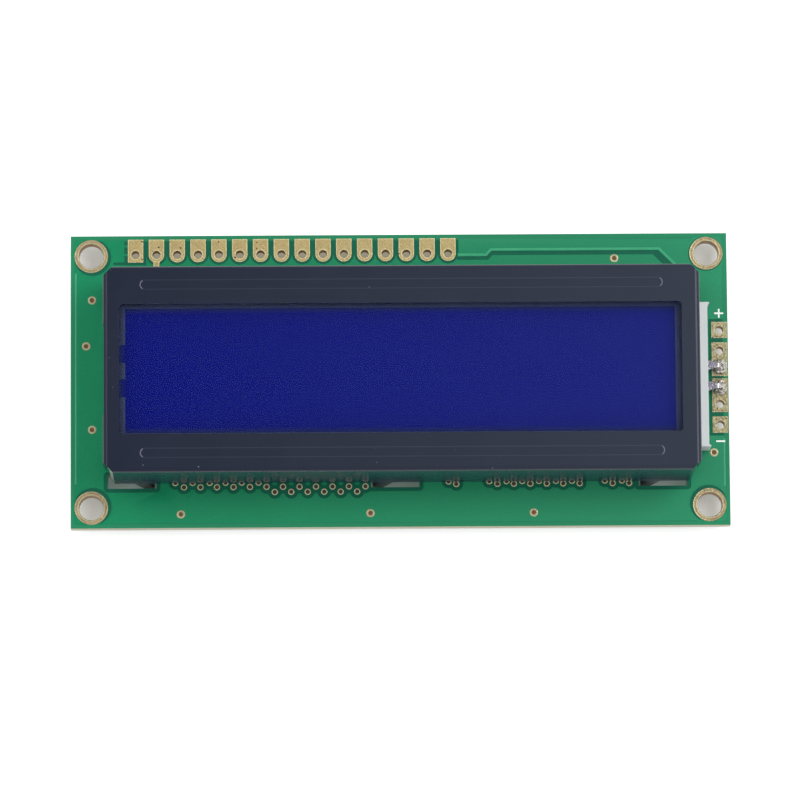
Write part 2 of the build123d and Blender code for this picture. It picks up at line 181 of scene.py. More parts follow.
def pick(piece: Piece, kind: str, test: Callable[[Vector], bool]) -> None:
    """Enters edit mode and picks corners, edges or faces.

    Args:
        piece: The piece to work on.
        kind: VERT, EDGE or FACE.
        test: Says of a corner's place, an edge's middle or a face's normal whether it is wanted.
    """
    hold(piece)
    bpy.ops.object.mode_set(mode="EDIT")
    bpy.ops.mesh.select_mode(type=kind)
    bpy.ops.mesh.select_all(action="DESELECT")
    mesh = bmesh.from_edit_mesh(piece.data)
    if kind == "VERT":
        for vert in mesh.verts:
            vert.select_set(test(vert.co))
    elif kind == "EDGE":
        for edge in mesh.edges:
            edge.select_set(test((edge.verts[0].co + edge.verts[1].co) / 2))
    else:
        for face in mesh.faces:
            face.select_set(test(face.normal))
    mesh.select_flush_mode()
    bmesh.update_edit_mesh(piece.data)


def lathe(name: str, profile: Sequence[Spot], steps: int) -> Piece:
    """Turns a closed profile round the Z axis.

    Args:
        name: Name of the piece.
        profile: Radius and height of each point.
        steps: Number of faces round it.

    Returns:
        The turned piece, at the origin.
    """
    clear()
    bpy.ops.mesh.primitive_plane_add(size=1)
    piece = bpy.context.object
    bpy.ops.object.mode_set(mode="EDIT")
    bpy.ops.mesh.select_mode(type="VERT")
    bpy.ops.mesh.select_all(action="SELECT")
    bpy.ops.mesh.merge(type="CENTER")
    path = [*profile, profile[0]]
    bpy.ops.transform.translate(value=(path[0][0], 0, path[0][1]))
    for here, there in zip(path, path[1:]):
        step = (there[0] - here[0], 0, there[1] - here[1])
        bpy.ops.mesh.extrude_vertices_move(TRANSFORM_OT_translate={"value": step})
    bpy.ops.mesh.select_all(action="SELECT")
    bpy.ops.mesh.spin(steps=steps, angle=math.tau, center=(0, 0, 0), axis=(0, 0, 1))
    bpy.ops.mesh.select_all(action="SELECT")
    bpy.ops.mesh.remove_doubles(threshold=WELD)
    bpy.ops.mesh.normals_make_consistent(inside=False)
    return fix(piece, name)


def apply(piece: Piece, kind: str, **settings: object) -> None:
    """Adds a modifier of a kind with its settings and applies it."""
    hold(piece)
    modifier = piece.modifiers.new(kind.title(), kind)
    for key, value in settings.items():
        setattr(modifier, key, value)
    bpy.ops.object.modifier_apply(modifier=modifier.name)


def ease(piece: Piece, width: float, segments: int = 2, angle: float = 35, crease: float = 60) -> Piece:
    """Rounds a piece's sharp edges.

    Args:
        piece: The piece to round.
        width: Width of the rounding.
        segments: Number of steps in it.
        angle: Edges sharper than this many degrees are rounded.
        crease: Edges sharper than this many degrees stay sharp to the eye.

    Returns:
        The same piece.
    """
    limit = math.radians(angle)
    apply(piece, "BEVEL", width=width, segments=segments, limit_method="ANGLE", angle_limit=limit)
    smooth(piece, crease)
    apply(piece, "WEIGHTED_NORMAL", keep_sharp=True, weight=NORMAL_WEIGHT)
    return piece


def smooth(piece: Piece, angle: float = 60) -> Piece:
    """Shades a piece smooth where it turns less than an angle in degrees."""
    hold(piece)
    bpy.ops.object.shade_smooth_by_angle(angle=math.radians(angle))
    return piece


def roughen(piece: Piece, size: float, reach: float) -> Piece:
    """Makes a surface uneven.

    Args:
        piece: The piece to work on.
        size: Distance between two bumps.
        reach: How far the surface moves.

    Returns:
        The same piece.
    """
    mesh = piece.data
    moves = [vert.normal * (noise.noise(vert.co / size) * reach) for vert in mesh.vertices]
    for vert, move in zip(mesh.vertices, moves):
        vert.co += move
    mesh.update()
    return piece


def thin(piece: Piece, gap: float) -> Piece:
    """Draws a flat piece in by a gap at its top and bottom."""
    levels = [vert.co.z for vert in piece.data.vertices]
    middle = (min(levels) + max(levels)) / 2
    for vert in piece.data.vertices:
        vert.co.z += gap if vert.co.z < middle else -gap
    return piece


def carve(piece: Piece, tool: Piece, operation: str = "DIFFERENCE") -> Piece:
    """Cuts a tool's shape from a piece, or fuses it on, and throws the tool away."""
    apply(piece, "BOOLEAN", operation=operation, object=tool, solver="EXACT")
    bpy.data.objects.remove(tool)
    return piece


def copy(piece: Piece, name: str, offset: Point) -> Piece:
    """Copies a piece with its own mesh, moved by an offset in millimetres."""
    twin = placed(name, piece.data.copy())
    twin.data.name = name
    twin.data.transform(Matrix.Translation(offset))
    return twin


def join(name: str, pieces: Sequence[Piece]) -> Piece:
    """Makes several objects one piece."""
    hold(pieces[0])
    for piece in pieces:
        piece.select_set(True)
    if len(pieces) > 1:
        bpy.ops.object.join()
    pieces[0].name = name
    return pieces[0]


def taken(node: str, fused: bool = True) -> Piece:
    """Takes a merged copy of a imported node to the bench.

    Args:
        node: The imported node's name.
        fused: Whether its flat faces are made whole again.

    Returns:
        The copy.
    """
    piece = placed(f"{node}_dressed", NODES[node].data.copy())
    piece.data.materials.clear()
    piece.data.transform(Matrix.Scale(1 / MM, 4))
    hold(piece)
    bpy.ops.object.mode_set(mode="EDIT")
    bpy.ops.mesh.select_all(action="SELECT")
    bpy.ops.mesh.remove_doubles(threshold=WELD)
    if fused:
        bpy.ops.mesh.dissolve_limited(angle_limit=math.radians(FLAT_ANGLE))
    clear()
    return piece


def is_side(face: bpy.types.MeshPolygon) -> bool:
    """Says whether a face looks sideways."""
    return abs(face.normal.z) < SIDE_TURN


def two_toned(piece: Piece, finish: "Finish", other: "Finish", test: FaceTest) -> None:
    """Gives some faces of a piece a finish of their own.

    Args:
        piece: The piece to finish.
        finish: What most of it gets.
        other: What the tested faces get.
        test: Says of a face whether it gets the other finish.
    """
    piece.data.materials.append(finish.material())
    piece.data.materials.append(other.material())
    for face in piece.data.polygons:
        face.material_index = int(test(face))


def near_hole(holes: Sequence[Spot], reach: float) -> FaceTest:
    """Makes a test for the walls of a piece's holes.

    Args:
        holes: The middle of each hole.
        reach: Faces nearer than this to a hole's middle belong to its wall.

    Returns:
        The test.
    """
    return lambda face: is_side(face) and any(
        math.hypot(face.center.x - x, face.center.y - y) < reach for x, y in holes
    )


def strand(name: str, points: Sequence[Point], width: float, height: float) -> Piece:
    """Lays a low rounded ribbon along points.

    Args:
        name: Name of the piece.
        points: The points that it follows.
        width: Its width.
        height: How far it stands up.

    Returns:
        The ribbon, as a mesh.
    """
    curve = bpy.data.curves.new(name, "CURVE")
    curve.dimensions = "3D"
    curve.bevel_depth = width / 2
    curve.bevel_resolution = 1
    curve.use_fill_caps = True
    spline = curve.splines.new("POLY")
    spline.points.add(len(points) - 1)
    for spot, point in zip(spline.points, points):
        spot.co = (*point, 1)
    piece = placed(name, curve)
    hold(piece)
    bpy.ops.object.convert(target="MESH")
    level = points[0][2]
    for vert in piece.data.vertices:
        vert.co.z = level + (vert.co.z - level) * 2 * height / width
    return smooth(piece)


def set_down(piece: Piece, finish: "Finish", *nodes: str) -> Piece:
    """Sets a finished piece in place.

    Args:
        piece: The piece.
        finish: What its surface gets.
        nodes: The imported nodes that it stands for.

    Returns:
        The piece, in metres and riding on the body.
    """
    clear()
    piece.data.transform(Matrix.Scale(MM, 4))
    piece.data.update()
    if not piece.data.materials:
        piece.data.materials.append(finish.material())
    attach(piece, BODY)
    if nodes:
        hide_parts(*nodes)
    log.info("%s: %d faces, %s", piece.name, len(piece.data.polygons), finish.slot)
    return piece


def dress(finish: "Finish", *nodes: str) -> None:
    """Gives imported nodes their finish."""
    for node in nodes:
        NODES[node].data.materials.clear()
        NODES[node].data.materials.append(finish.material())
        log.info("%s: finished as %s", node, finish.slot)


def paint(colour: Colour) -> tuple[float, float, float, float]:
    """Turns a colour as the eye reads it, 0 to 255 a channel, into the renderer's linear one."""
    parts = [c / 255 for c in colour]
    return (*[
        p / EYE_SLOPE if p <= EYE_KNEE else ((p + EYE_LIFT) / (1 + EYE_LIFT)) ** EYE_POWER for p in parts
    ], 1.0)


class Graph:
    """A node tree with short ways to add nodes and to feed their sockets."""

    def __init__(self, tree: bpy.types.NodeTree) -> None:
        """Empties the tree and keeps it."""
        self.tree = tree
        self.tree.nodes.clear()

    def add(
        self, kind: str, feeds: dict[str | int, object] | None = None, **options: object
    ) -> bpy.types.Node:
        """Adds a node.

        Args:
            kind: The node's type name, without its ShaderNode prefix.
            feeds: A value or a socket for each named input.
            options: The node's own settings.

        Returns:
            The node.
        """
        prefix = "" if kind.startswith("Node") else "ShaderNode"
        node = self.tree.nodes.new(prefix + kind)
        for key, value in options.items():
            setattr(node, key, value)
        for key, value in (feeds or {}).items():
            socket = node.inputs[key]
            if isinstance(value, Socket):
                self.tree.links.new(value, socket)
            else:
                socket.default_value = value
        return node

    def blend(self, mask: object, low: object, high: object) -> Socket:
        """Blends two colours by a mask and returns the result."""
        feeds = {MIX_MASK: mask, MIX_LOW: low, MIX_HIGH: high}
        return self.add("Mix", feeds, data_type="RGBA").outputs[MIX_RESULT]

    def sum(self, operation: str, *values: object) -> Socket:
        """Works on one to three numbers and returns the result."""
        return self.add("Math", dict(enumerate(values)), operation=operation).outputs[0]

    def span(self, value: object, low: float, high: float, to_low: float = 0, to_high: float = 1) -> Socket:
        """Maps a range of a value to another and returns the result."""
        feeds = {"Value": value, "From Min": low, "From Max": high, "To Min": to_low, "To Max": to_high}
        return self.add("MapRange", feeds).outputs[0]

    def place(self) -> Socket:
        """The place on the object, in metres."""
        return self.add("TexCoord").outputs["Object"]

    def parts(self, kind: str) -> Sockets:
        """The X, Y and Z parts of the object's coordinates of a kind."""
        return self.add("SeparateXYZ", {0: self.add("TexCoord").outputs[kind]}).outputs

    def noise(self, place: Socket, scale: Socket, **feeds: float) -> Socket:
        """A noise texture's value at a place."""
        return self.add("TexNoise", {"Vector": place, "Scale": scale, **feeds}).outputs["Fac"]

    def effect(self, effect: "Effect", feeds: dict[str, object]) -> Sockets:
        """Places a shared effect and returns its outputs."""
        return self.add("Group", feeds, node_tree=effect.tree()).outputs

    def margin(self, at: Spot, fade: float) -> Socket:
        """A mask that is 1 outside a rectangle, whose half sizes are given, and fades to 0 inside it."""
        feeds = {"Across": at[0] * MM, "Up": at[1] * MM, "Fade": fade * MM}
        return self.effect(Effect.MARGIN, feeds)["Mask"]


# The kinds of an effect's sockets that don't carry a plain number.
SOCKET_KINDS = {"Tone": "NodeSocketColor", "Second Tone": "NodeSocketColor", "Stretch": "NodeSocketVector"}
# The part of a noise's range that is spread over 0 to 1, and the fine grain's share of the mix.
NOISE_SPAN = (0.3, 0.7)
GRAIN_SHARE = 0.35
# A rim starts where the rounded normal is less like the true one than the first turn.
RIM_SAMPLES = 6
RIM_TURN = (0.995, 0.85)
RIM_GRAIN_SHARE = 0.25
RIM_BREAK_SPAN = (0.35, 0.6)
# How far a speck's outline bends in and out, and what is added to its random size.
SPECK_BEND = (0.6, 1.4)
SPECK_LEAST = 0.4
SPECK_ROUGHNESS = 0.8
# A face counts as flat by how much its normal looks up or down.
FLAT_TURN = (0.6, 0.8)
# The blotches on a cut side are drawn out into layers.
SIDE_SCALE = 900
SIDE_GRAIN_SCALE = 5000
SIDE_STRETCH = (0.15, 0.15, 6)


class Effect(Enum):
    """Surface effects that several finishes share, each a node group."""

    MOTTLE = "tone_mottle"
    RIM = "painted_edge_glint"
    SPECKS = "fine_specks"
    FLATS = "flat_faces"
    LIGHT_SLOPE = "painted_light_gradient"
    MARGIN = "outer_margin"

    def tree(self) -> bpy.types.NodeTree:
        """The effect's node group, built at its first use."""
        found = bpy.data.node_groups.get(self.value)
        if found:
            return found
        tree = bpy.data.node_groups.new(self.value, "ShaderNodeTree")
        fill, inputs, outputs = {
            Effect.MOTTLE: (self._mottle, ["Tone", "Second Tone", "Scale", "Grain Scale", "Stretch"],
                            ["Tone", "Cloud", "Grain"]),
            Effect.RIM: (self._rim, ["Width", "Scale", "Breaks"], ["Mask"]),
            Effect.SPECKS: (self._specks, ["Scale", "Size", "Share"], ["Mask"]),
            Effect.FLATS: (self._flats, [], ["Mask"]),
            Effect.LIGHT_SLOPE: (self._light_slope, ["Reach"], ["Mask"]),
            Effect.MARGIN: (self._margin, ["Across", "Up", "Fade"], ["Mask"]),
        }[self]
        for way, names in (("INPUT", inputs), ("OUTPUT", outputs)):
            for name in names:
                kind = SOCKET_KINDS.get(name, "NodeSocketFloat")
                tree.interface.new_socket(name, in_out=way, socket_type=kind)
        graph = Graph(tree)
        made = fill(graph, graph.add("NodeGroupInput").outputs)
        graph.add("NodeGroupOutput", dict(zip(outputs, made)))
        return tree

    @staticmethod
    def _mottle(graph: Graph, given: Sockets) -> list[Socket]:
        """Soft blotches and fine grain between two tones."""
        feeds = {0: graph.place(), 1: given["Stretch"]}
        drawn = graph.add("VectorMath", feeds, operation="MULTIPLY").outputs[0]
        wide = graph.span(graph.noise(drawn, given["Scale"], Detail=4, Roughness=0.6), *NOISE_SPAN)
        fine = graph.span(graph.noise(drawn, given["Grain Scale"], Detail=3), *NOISE_SPAN)
        mixed = graph.sum("MULTIPLY_ADD", fine, GRAIN_SHARE, graph.sum("MULTIPLY", wide, 1 - GRAIN_SHARE))
        return [graph.blend(mixed, given["Tone"], given["Second Tone"]), wide, fine]

    @staticmethod
    def _rim(graph: Graph, given: Sockets) -> list[Socket]:
        """A mask that is 1 along sharp edges and broken up by a grain, where finishes paint a glint."""
        rounded = graph.add("Bevel", {"Radius": given["Width"]}, samples=RIM_SAMPLES).outputs[0]
        true = graph.add("NewGeometry").outputs["True Normal"]
        likeness = graph.add("VectorMath", {0: rounded, 1: true}, operation="DOT_PRODUCT").outputs["Value"]
        edge = graph.span(likeness, *RIM_TURN)
        broken = graph.span(graph.noise(graph.place(), given["Scale"], Detail=3), *RIM_BREAK_SPAN)
        kept = graph.sum("SUBTRACT", 1, graph.sum("MULTIPLY", broken, given["Breaks"]))
        return [graph.sum("MULTIPLY", edge, kept)]

    @staticmethod
    def _specks(graph: Graph, given: Sockets) -> list[Socket]:
        """A mask of small scattered spots on faces that look up or down."""
        place = graph.place()
        bend = graph.span(graph.noise(place, given["Scale"]), *NOISE_SPAN, *SPECK_BEND)
        feeds = {"Vector": place, "Scale": given["Scale"], "Randomness": 1}
        cells = graph.add("TexVoronoi", feeds, voronoi_dimensions="2D")
        chance = graph.add("SeparateColor", {0: cells.outputs["Color"]}).outputs
        radius = graph.sum("MULTIPLY", given["Size"], graph.sum("ADD", chance[1], SPECK_LEAST))
        near = graph.sum("LESS_THAN", cells.outputs["Distance"], graph.sum("MULTIPLY", radius, bend))
        wanted = graph.sum("LESS_THAN", chance[0], given["Share"])
        level = graph.sum("GREATER_THAN", graph.sum("ABSOLUTE", graph.parts("Normal")[2]), FLAT_TURN[0])
        return [graph.sum("MULTIPLY", graph.sum("MULTIPLY", near, wanted), level)]

    @staticmethod
    def _flats(graph: Graph, given: Sockets) -> list[Socket]:
        """A mask that is 1 on faces that look up or down and 0 on the sides."""
        return [graph.span(graph.sum("ABSOLUTE", graph.parts("Normal")[2]), *FLAT_TURN)]

    @staticmethod
    def _light_slope(graph: Graph, given: Sockets) -> list[Socket]:
        """A mask that grows from the object's left end to its right one: painted light, brighter to the right.
        """
        return [graph.span(graph.sum("DIVIDE", graph.parts("Object")[0], given["Reach"]), -1, 1)]

    @staticmethod
    def _margin(graph: Graph, given: Sockets) -> list[Socket]:
        """A mask that is 1 outside a rectangle and fades to 0 inside it."""
        across, up = [graph.sum("SUBTRACT", graph.sum("ABSOLUTE", part), given[limit])
                      for part, limit in zip(graph.parts("Object"), ("Across", "Up"))]
        return [graph.span(graph.sum("DIVIDE", graph.sum("MAXIMUM", across, up), given["Fade"]), -1, 0)]


@dataclass(frozen=True)
class Finish:
    """How a surface looks. The tones are as the eye reads them, and scales count features in a metre."""

    slot: str
    tone: Colour
    second_tone: Colour
    scale: float = 300
    grain_scale: float = 4000
    stretch: Point = (1, 1, 1)
    roughness: tuple[float, float] = (0.4, 0.5)
    metallic: float = 0
    specular: float = 0.5
    alpha: float = 1
    relief: float = 0
    # Painted highlight: the colour laid along sharp edges as a glint.
    rim_glint: Colour | None = None
    rim_width: float = 0.1
    rim_breaks: float = 0.6
    rim_strength: float = 0.7
    speck: Colour | None = None
    speck_scale: float = 600
    speck_size: float = 0.1
    speck_share: float = 0.2
    sides: Colour | None = None
    side_grain: Colour | None = None
    # Painted light: a lighter tone that the surface blends into towards its right end, where the lamps fall
    # brighter.
    painted_light_slope: Colour | None = None
    painted_light_reach: float = 38
    margin: Colour | None = None
    margin_at: Spot = (39, 17)
    margin_fade: float = 0.5
    margin_solid: bool = False
    name: str = ""

    def material(self) -> bpy.types.Material:
        """The finish's material, made at its first use."""
        title = self.name or self.slot
        found = bpy.data.materials.get(f"{title}_finish")
        if found:
            return found
        made = bpy.data.materials.new(f"{title}_finish")
        made.use_nodes = True
        graph = Graph(made.node_tree)
        feeds = {"Metallic": self.metallic, "Specular IOR Level": self.specular, "Alpha": self.alpha}
        skin = graph.add("BsdfPrincipled", feeds)
        graph.add("OutputMaterial", {"Surface": skin.outputs[0]})
        for key, source in self._parts(graph).items():
            graph.tree.links.new(source, skin.inputs[key])
        return made

    def _parts(self, graph: Graph) -> dict[str, Socket]:
        """What feeds the skin's colour, roughness, relief and, at a solid margin, its alpha."""
        mottle = graph.effect(Effect.MOTTLE, {
            "Tone": paint(self.tone), "Second Tone": paint(self.second_tone), "Scale": self.scale,
            "Grain Scale": self.grain_scale, "Stretch": self.stretch,
        })
        parts = {}
        colour = mottle["Tone"]
        # Painted light: the colour brightens towards the right end.
        if self.painted_light_slope:
            mask = graph.effect(Effect.LIGHT_SLOPE, {"Reach": self.painted_light_reach * MM})["Mask"]
            colour = graph.blend(mask, colour, paint(self.painted_light_slope))
        if self.margin:
            mask = graph.margin(self.margin_at, self.margin_fade)
            colour = graph.blend(mask, colour, paint(self.margin))
            if self.margin_solid:
                parts["Alpha"] = graph.span(mask, 0, 1, self.alpha, 1)
        if self.sides:
            edge = graph.effect(Effect.MOTTLE, {
                "Tone": paint(self.sides), "Second Tone": paint(self.side_grain or self.sides),
                "Scale": SIDE_SCALE, "Grain Scale": SIDE_GRAIN_SCALE, "Stretch": SIDE_STRETCH,
            })
            colour = graph.blend(graph.effect(Effect.FLATS, {})["Mask"], edge["Tone"], colour)
        rough = graph.span(mottle["Cloud"], 0, 1, *self.roughness)
        # Painted highlight along the sharp edges.
        if self.rim_glint:
            scale = self.grain_scale * RIM_GRAIN_SHARE
            feeds = {"Width": self.rim_width * MM, "Breaks": self.rim_breaks, "Scale": scale}
            mask = graph.sum("MULTIPLY", graph.effect(Effect.RIM, feeds)["Mask"], self.rim_strength)
            colour = graph.blend(mask, colour, paint(self.rim_glint))
        if self.speck:
            feeds = {"Scale": self.speck_scale, "Size": self.speck_size, "Share": self.speck_share}
            mask = graph.effect(Effect.SPECKS, feeds)["Mask"]
            colour = graph.blend(mask, colour, paint(self.speck))
            rough = graph.sum("MAXIMUM", rough, graph.sum("MULTIPLY", mask, SPECK_ROUGHNESS))
        if self.relief:
            feeds = {"Height": mottle["Grain"], "Distance": self.relief * MM, "Strength": 1}
            parts["Normal"] = graph.add("Bump", feeds).outputs[0]
        return parts | {"Base Color": colour, "Roughness": rough}


LAMINATE = Finish(
    "laminate", (0, 86, 64), (4, 94, 70), scale=500, roughness=(0.35, 0.45), specular=0.15,
    margin=(30, 124, 86), margin_at=(39.5, 17.5), margin_fade=0.25, sides=(196, 188, 160),
    side_grain=(158, 154, 124), relief=0.004, grain_scale=3000,
)
# Solder mask; its lighter tone towards the right end is painted light.
MASK = Finish(
    "solder_mask", (8, 123, 81), (14, 129, 87), scale=220, roughness=(0.22, 0.32), specular=0.15,
    painted_light_slope=(36, 130, 92), relief=0.003, grain_scale=2500,
)
# Painted highlight: a lighter mask for the raised ribbons along the slit and the pour's edges, where light
# catches the edge steps.
MASK_HIGHLIGHT = Finish(
    "solder_mask", (52, 148, 106), (64, 160, 118), name="mask_highlight", roughness=(0.25, 0.35), specular=0.15,
)
# Plated copper, with a painted highlight along its edges and real flux specks.
PLATED = Finish(
    "plated_copper", (146, 128, 82), (172, 156, 110), scale=900, roughness=(0.32, 0.5), metallic=0.6,
    rim_glint=(240, 230, 184), rim_width=0.2, rim_breaks=0.3, rim_strength=0.8, speck=(96, 66, 40),
    speck_scale=1500, speck_size=0.13, speck_share=0.1, relief=0.03, grain_scale=5000,
)
# Rougher plated copper of the backlight pads, with a painted highlight along its edges and real dark pits.
HAMMERED = Finish(
    "plated_copper", (100, 90, 58), (196, 186, 146), name="hammered_plate", scale=3000, roughness=(0.25, 0.5),
    metallic=0.6, rim_glint=(236, 224, 178), rim_width=0.18, speck=(84, 64, 40), speck_scale=2100, speck_size=0.16,
    speck_share=0.3, relief=0.08, grain_scale=4200,
)
RED_BORE = Finish(
    "plated_copper", (150, 104, 72), (186, 142, 104), name="mounting_bore", scale=900, roughness=(0.3, 0.45),
    metallic=0.5, relief=0.02,
)
BORE = Finish(
    "plated_copper", (140, 108, 66), (190, 158, 108), name="plated_bore", scale=1600, roughness=(0.35, 0.55),
    metallic=0.5, relief=0.02,
)
RING = Finish(
    "plated_copper", (138, 130, 98), (182, 174, 138), name="ring_plate", scale=900, roughness=(0.28, 0.42),
    metallic=0.6, relief=0.02,
)
# Painted shade: a darker band between the mounting ring's edges, so that the edges read as bright lines.
RING_SHADED_BAND = Finish(
    "plated_copper", (118, 98, 68), (166, 148, 112), name="ring_band_shade", scale=1400, roughness=(0.28, 0.42),
    metallic=0.6, relief=0.04,
)
PALE_RING = Finish(
    "plated_copper", (168, 164, 124), (206, 202, 168), name="pale_ring", scale=2500, roughness=(0.3, 0.42),
    metallic=0.5, relief=0.01,
)
SILK = Finish("silk", (238, 242, 238), (224, 230, 224), roughness=(0.6, 0.7), relief=0.006)
# Black painted steel with real dust specks; its lighter tone towards the right end is painted light.
BEZEL_BLACK = Finish(
    "black_steel", (2, 14, 38), (8, 18, 42), scale=160, roughness=(0.2, 0.28), specular=0.25,
    painted_light_slope=(32, 39, 54), speck=(88, 92, 106), speck_scale=190, speck_size=0.013, speck_share=0.45,
    relief=0.003, grain_scale=6000,
)
# Painted highlight: a lighter black for the rib slopes and sides, drawn as faint light lines, and lighter
# still towards the right end.
BEZEL_PRESS_HIGHLIGHT = Finish(
    "black_steel", (20, 28, 48), (26, 34, 52), name="bezel_press_highlight", scale=160, roughness=(0.18, 0.24),
    specular=0.3, painted_light_slope=(44, 50, 66),
)
# Painted light: the window's cut faces are lightened to make up for the shade they lie in, and lighter still
# towards the right end.
BEZEL_CUT_LIT = Finish(
    "black_steel", (70, 80, 104), (76, 86, 110), name="bezel_cut_lit", scale=160, roughness=(0.3, 0.4),
    specular=0.3, painted_light_slope=(84, 92, 112),
)
BEZEL_GLINT = Finish(
    "black_steel", (84, 86, 102), (100, 102, 116), name="bezel_glint", scale=160, roughness=(0.15, 0.2),
)
# Painted reflection: the lower outer wall's teal stands for the green board mirrored in its gloss.
BEZEL_WALL_REFLECTION = Finish(
    "black_steel", (20, 46, 60), (26, 52, 66), name="bezel_wall_reflection", scale=160, roughness=(0.24, 0.3),
    specular=0.6,
)
RAW_STEEL = Finish(
    "black_steel", (176, 180, 178), (132, 136, 134), name="raw_steel", scale=1500, roughness=(0.3, 0.5),
    metallic=0.7, relief=0.02, stretch=(1, 1, 4),
)
POLARISER = Finish(
    "polariser", (12, 15, 48), (14, 17, 54), scale=60, roughness=(0.12, 0.18), specular=0.1, alpha=0.25,
    speck=(150, 156, 190), speck_scale=160, speck_size=0.012, speck_share=0.1,
)
GLASS = Finish(
    "glass", (70, 100, 95), (78, 108, 102), roughness=(0.03, 0.06), alpha=0.03, specular=0.05,
    margin=(34, 52, 54), margin_at=(34.6, 8.5), margin_fade=0.2, margin_solid=True,
)
GLASS_EDGE = Finish("glass", (34, 52, 54), (44, 64, 66), name="glass_edge", scale=900, roughness=(0.3, 0.45))
# Liquid crystal; its lighter blue towards the right end is painted light.
CRYSTAL = Finish(
    "crystal", (6, 20, 178), (7, 21, 180), scale=30, grain_scale=60, roughness=(0.5, 0.6), specular=0.02,
    painted_light_slope=(44, 54, 184), margin=(62, 76, 132), margin_at=(34.0, 7.8), margin_fade=0.9,
)
SEAL = Finish(
    "seal_resin", (112, 128, 176), (102, 118, 166), scale=900, roughness=(0.5, 0.6), specular=0.02,
    margin=(78, 88, 110), margin_at=(34.0, 8.2), margin_fade=0.9,
)
PLUG = Finish(
    "seal_resin", (184, 206, 255), (176, 198, 252), name="port_resin", scale=900, roughness=(0.5, 0.6),
    specular=0.02, sides=(96, 102, 110), side_grain=(84, 90, 98),
)
RUBBER = Finish("contact_rubber", (40, 40, 42), (52, 52, 54), roughness=(0.7, 0.8))
WHITE = Finish("white_frame", (206, 210, 210), (198, 204, 206), scale=200, specular=0.2, relief=0.004)
CLEAR = Finish("clear_guide", (214, 222, 224), (206, 216, 220), roughness=(0.1, 0.2), alpha=0.5)
SHEET = Finish("white_sheet", (222, 224, 224), (214, 216, 216), roughness=(0.5, 0.6))
SMALL_BOARD = Finish("small_board", (36, 96, 58), (44, 110, 68))
LAMP = Finish("lamp_chip", (230, 226, 190), (214, 208, 160), roughness=(0.3, 0.4))
# Tinned leads, with a painted glint along their edges.
LEAD = Finish(
    "tinned_lead", (82, 80, 92), (146, 142, 154), scale=1600, roughness=(0.15, 0.35), metallic=0.8,
    relief=0.05, rim_glint=(235, 235, 238), rim_strength=0.6,
)
SOLDER = Finish(
    "solder", (106, 104, 98), (222, 216, 210), scale=2200, roughness=(0.08, 0.25), metallic=0.85, relief=0.06,
    grain_scale=2600,
)
EPOXY = Finish(
    "black_epoxy", (18, 18, 19), (26, 26, 27), scale=200, roughness=(0.2, 0.34), specular=0.4, relief=0.01,
    grain_scale=1500, speck=(62, 62, 64), speck_scale=500, speck_size=0.04, speck_share=0.12,
)
SILICON = Finish("silicon", (90, 92, 100), (110, 112, 118), roughness=(0.2, 0.3))
# Black chip bodies, with a painted highlight along their edges.
BLACK_CHIP = Finish(
    "black_chip", (26, 26, 28), (36, 36, 38), roughness=(0.35, 0.5), rim_glint=(70, 70, 72), rim_strength=0.4,
)
TAN_CHIP = Finish("tan_chip", (168, 138, 100), (182, 154, 116), roughness=(0.45, 0.6))
# Painted shade: solid plugs in the via holes stand for the shade of the open holes, brown in the larger vias.
SHADED_COPPER_WELL = Finish(
    "laminate", (56, 32, 10), (120, 78, 34), name="shaded_copper_well", scale=2600, roughness=(0.4, 0.6),
)
# Painted shade of the small vias' open holes, near black.
SHADED_WELL = Finish(
    "laminate", (10, 14, 8), (70, 62, 40), name="shaded_well", scale=3000, roughness=(0.4, 0.6),
)


@dataclass
class HoleRow:
    """A row of plated holes at one pitch."""

    first_x: float
    count: int
    y: float
    pitch: float = 2.0

    def places(self) -> list[Spot]:
        """The middle of each hole in the row."""
        return [(self.first_x + self.pitch * index, self.y) for index in range(self.count)]


@dataclass(frozen=True)
class ViaKind:
    """One kind of via: its radii in millimetres and its finishes."""

    name: str
    ring_radius: float
    hole_radius: float
    clearing_radius: float
    metal: Finish
    well: Finish


FREE_VIA = ViaKind("free_via", 0.51, 0.28, 0.32, RING, SHADED_COPPER_WELL)
ROW_VIA = ViaKind("row_via", 0.38, 0.26, 0.83, PALE_RING, SHADED_WELL)


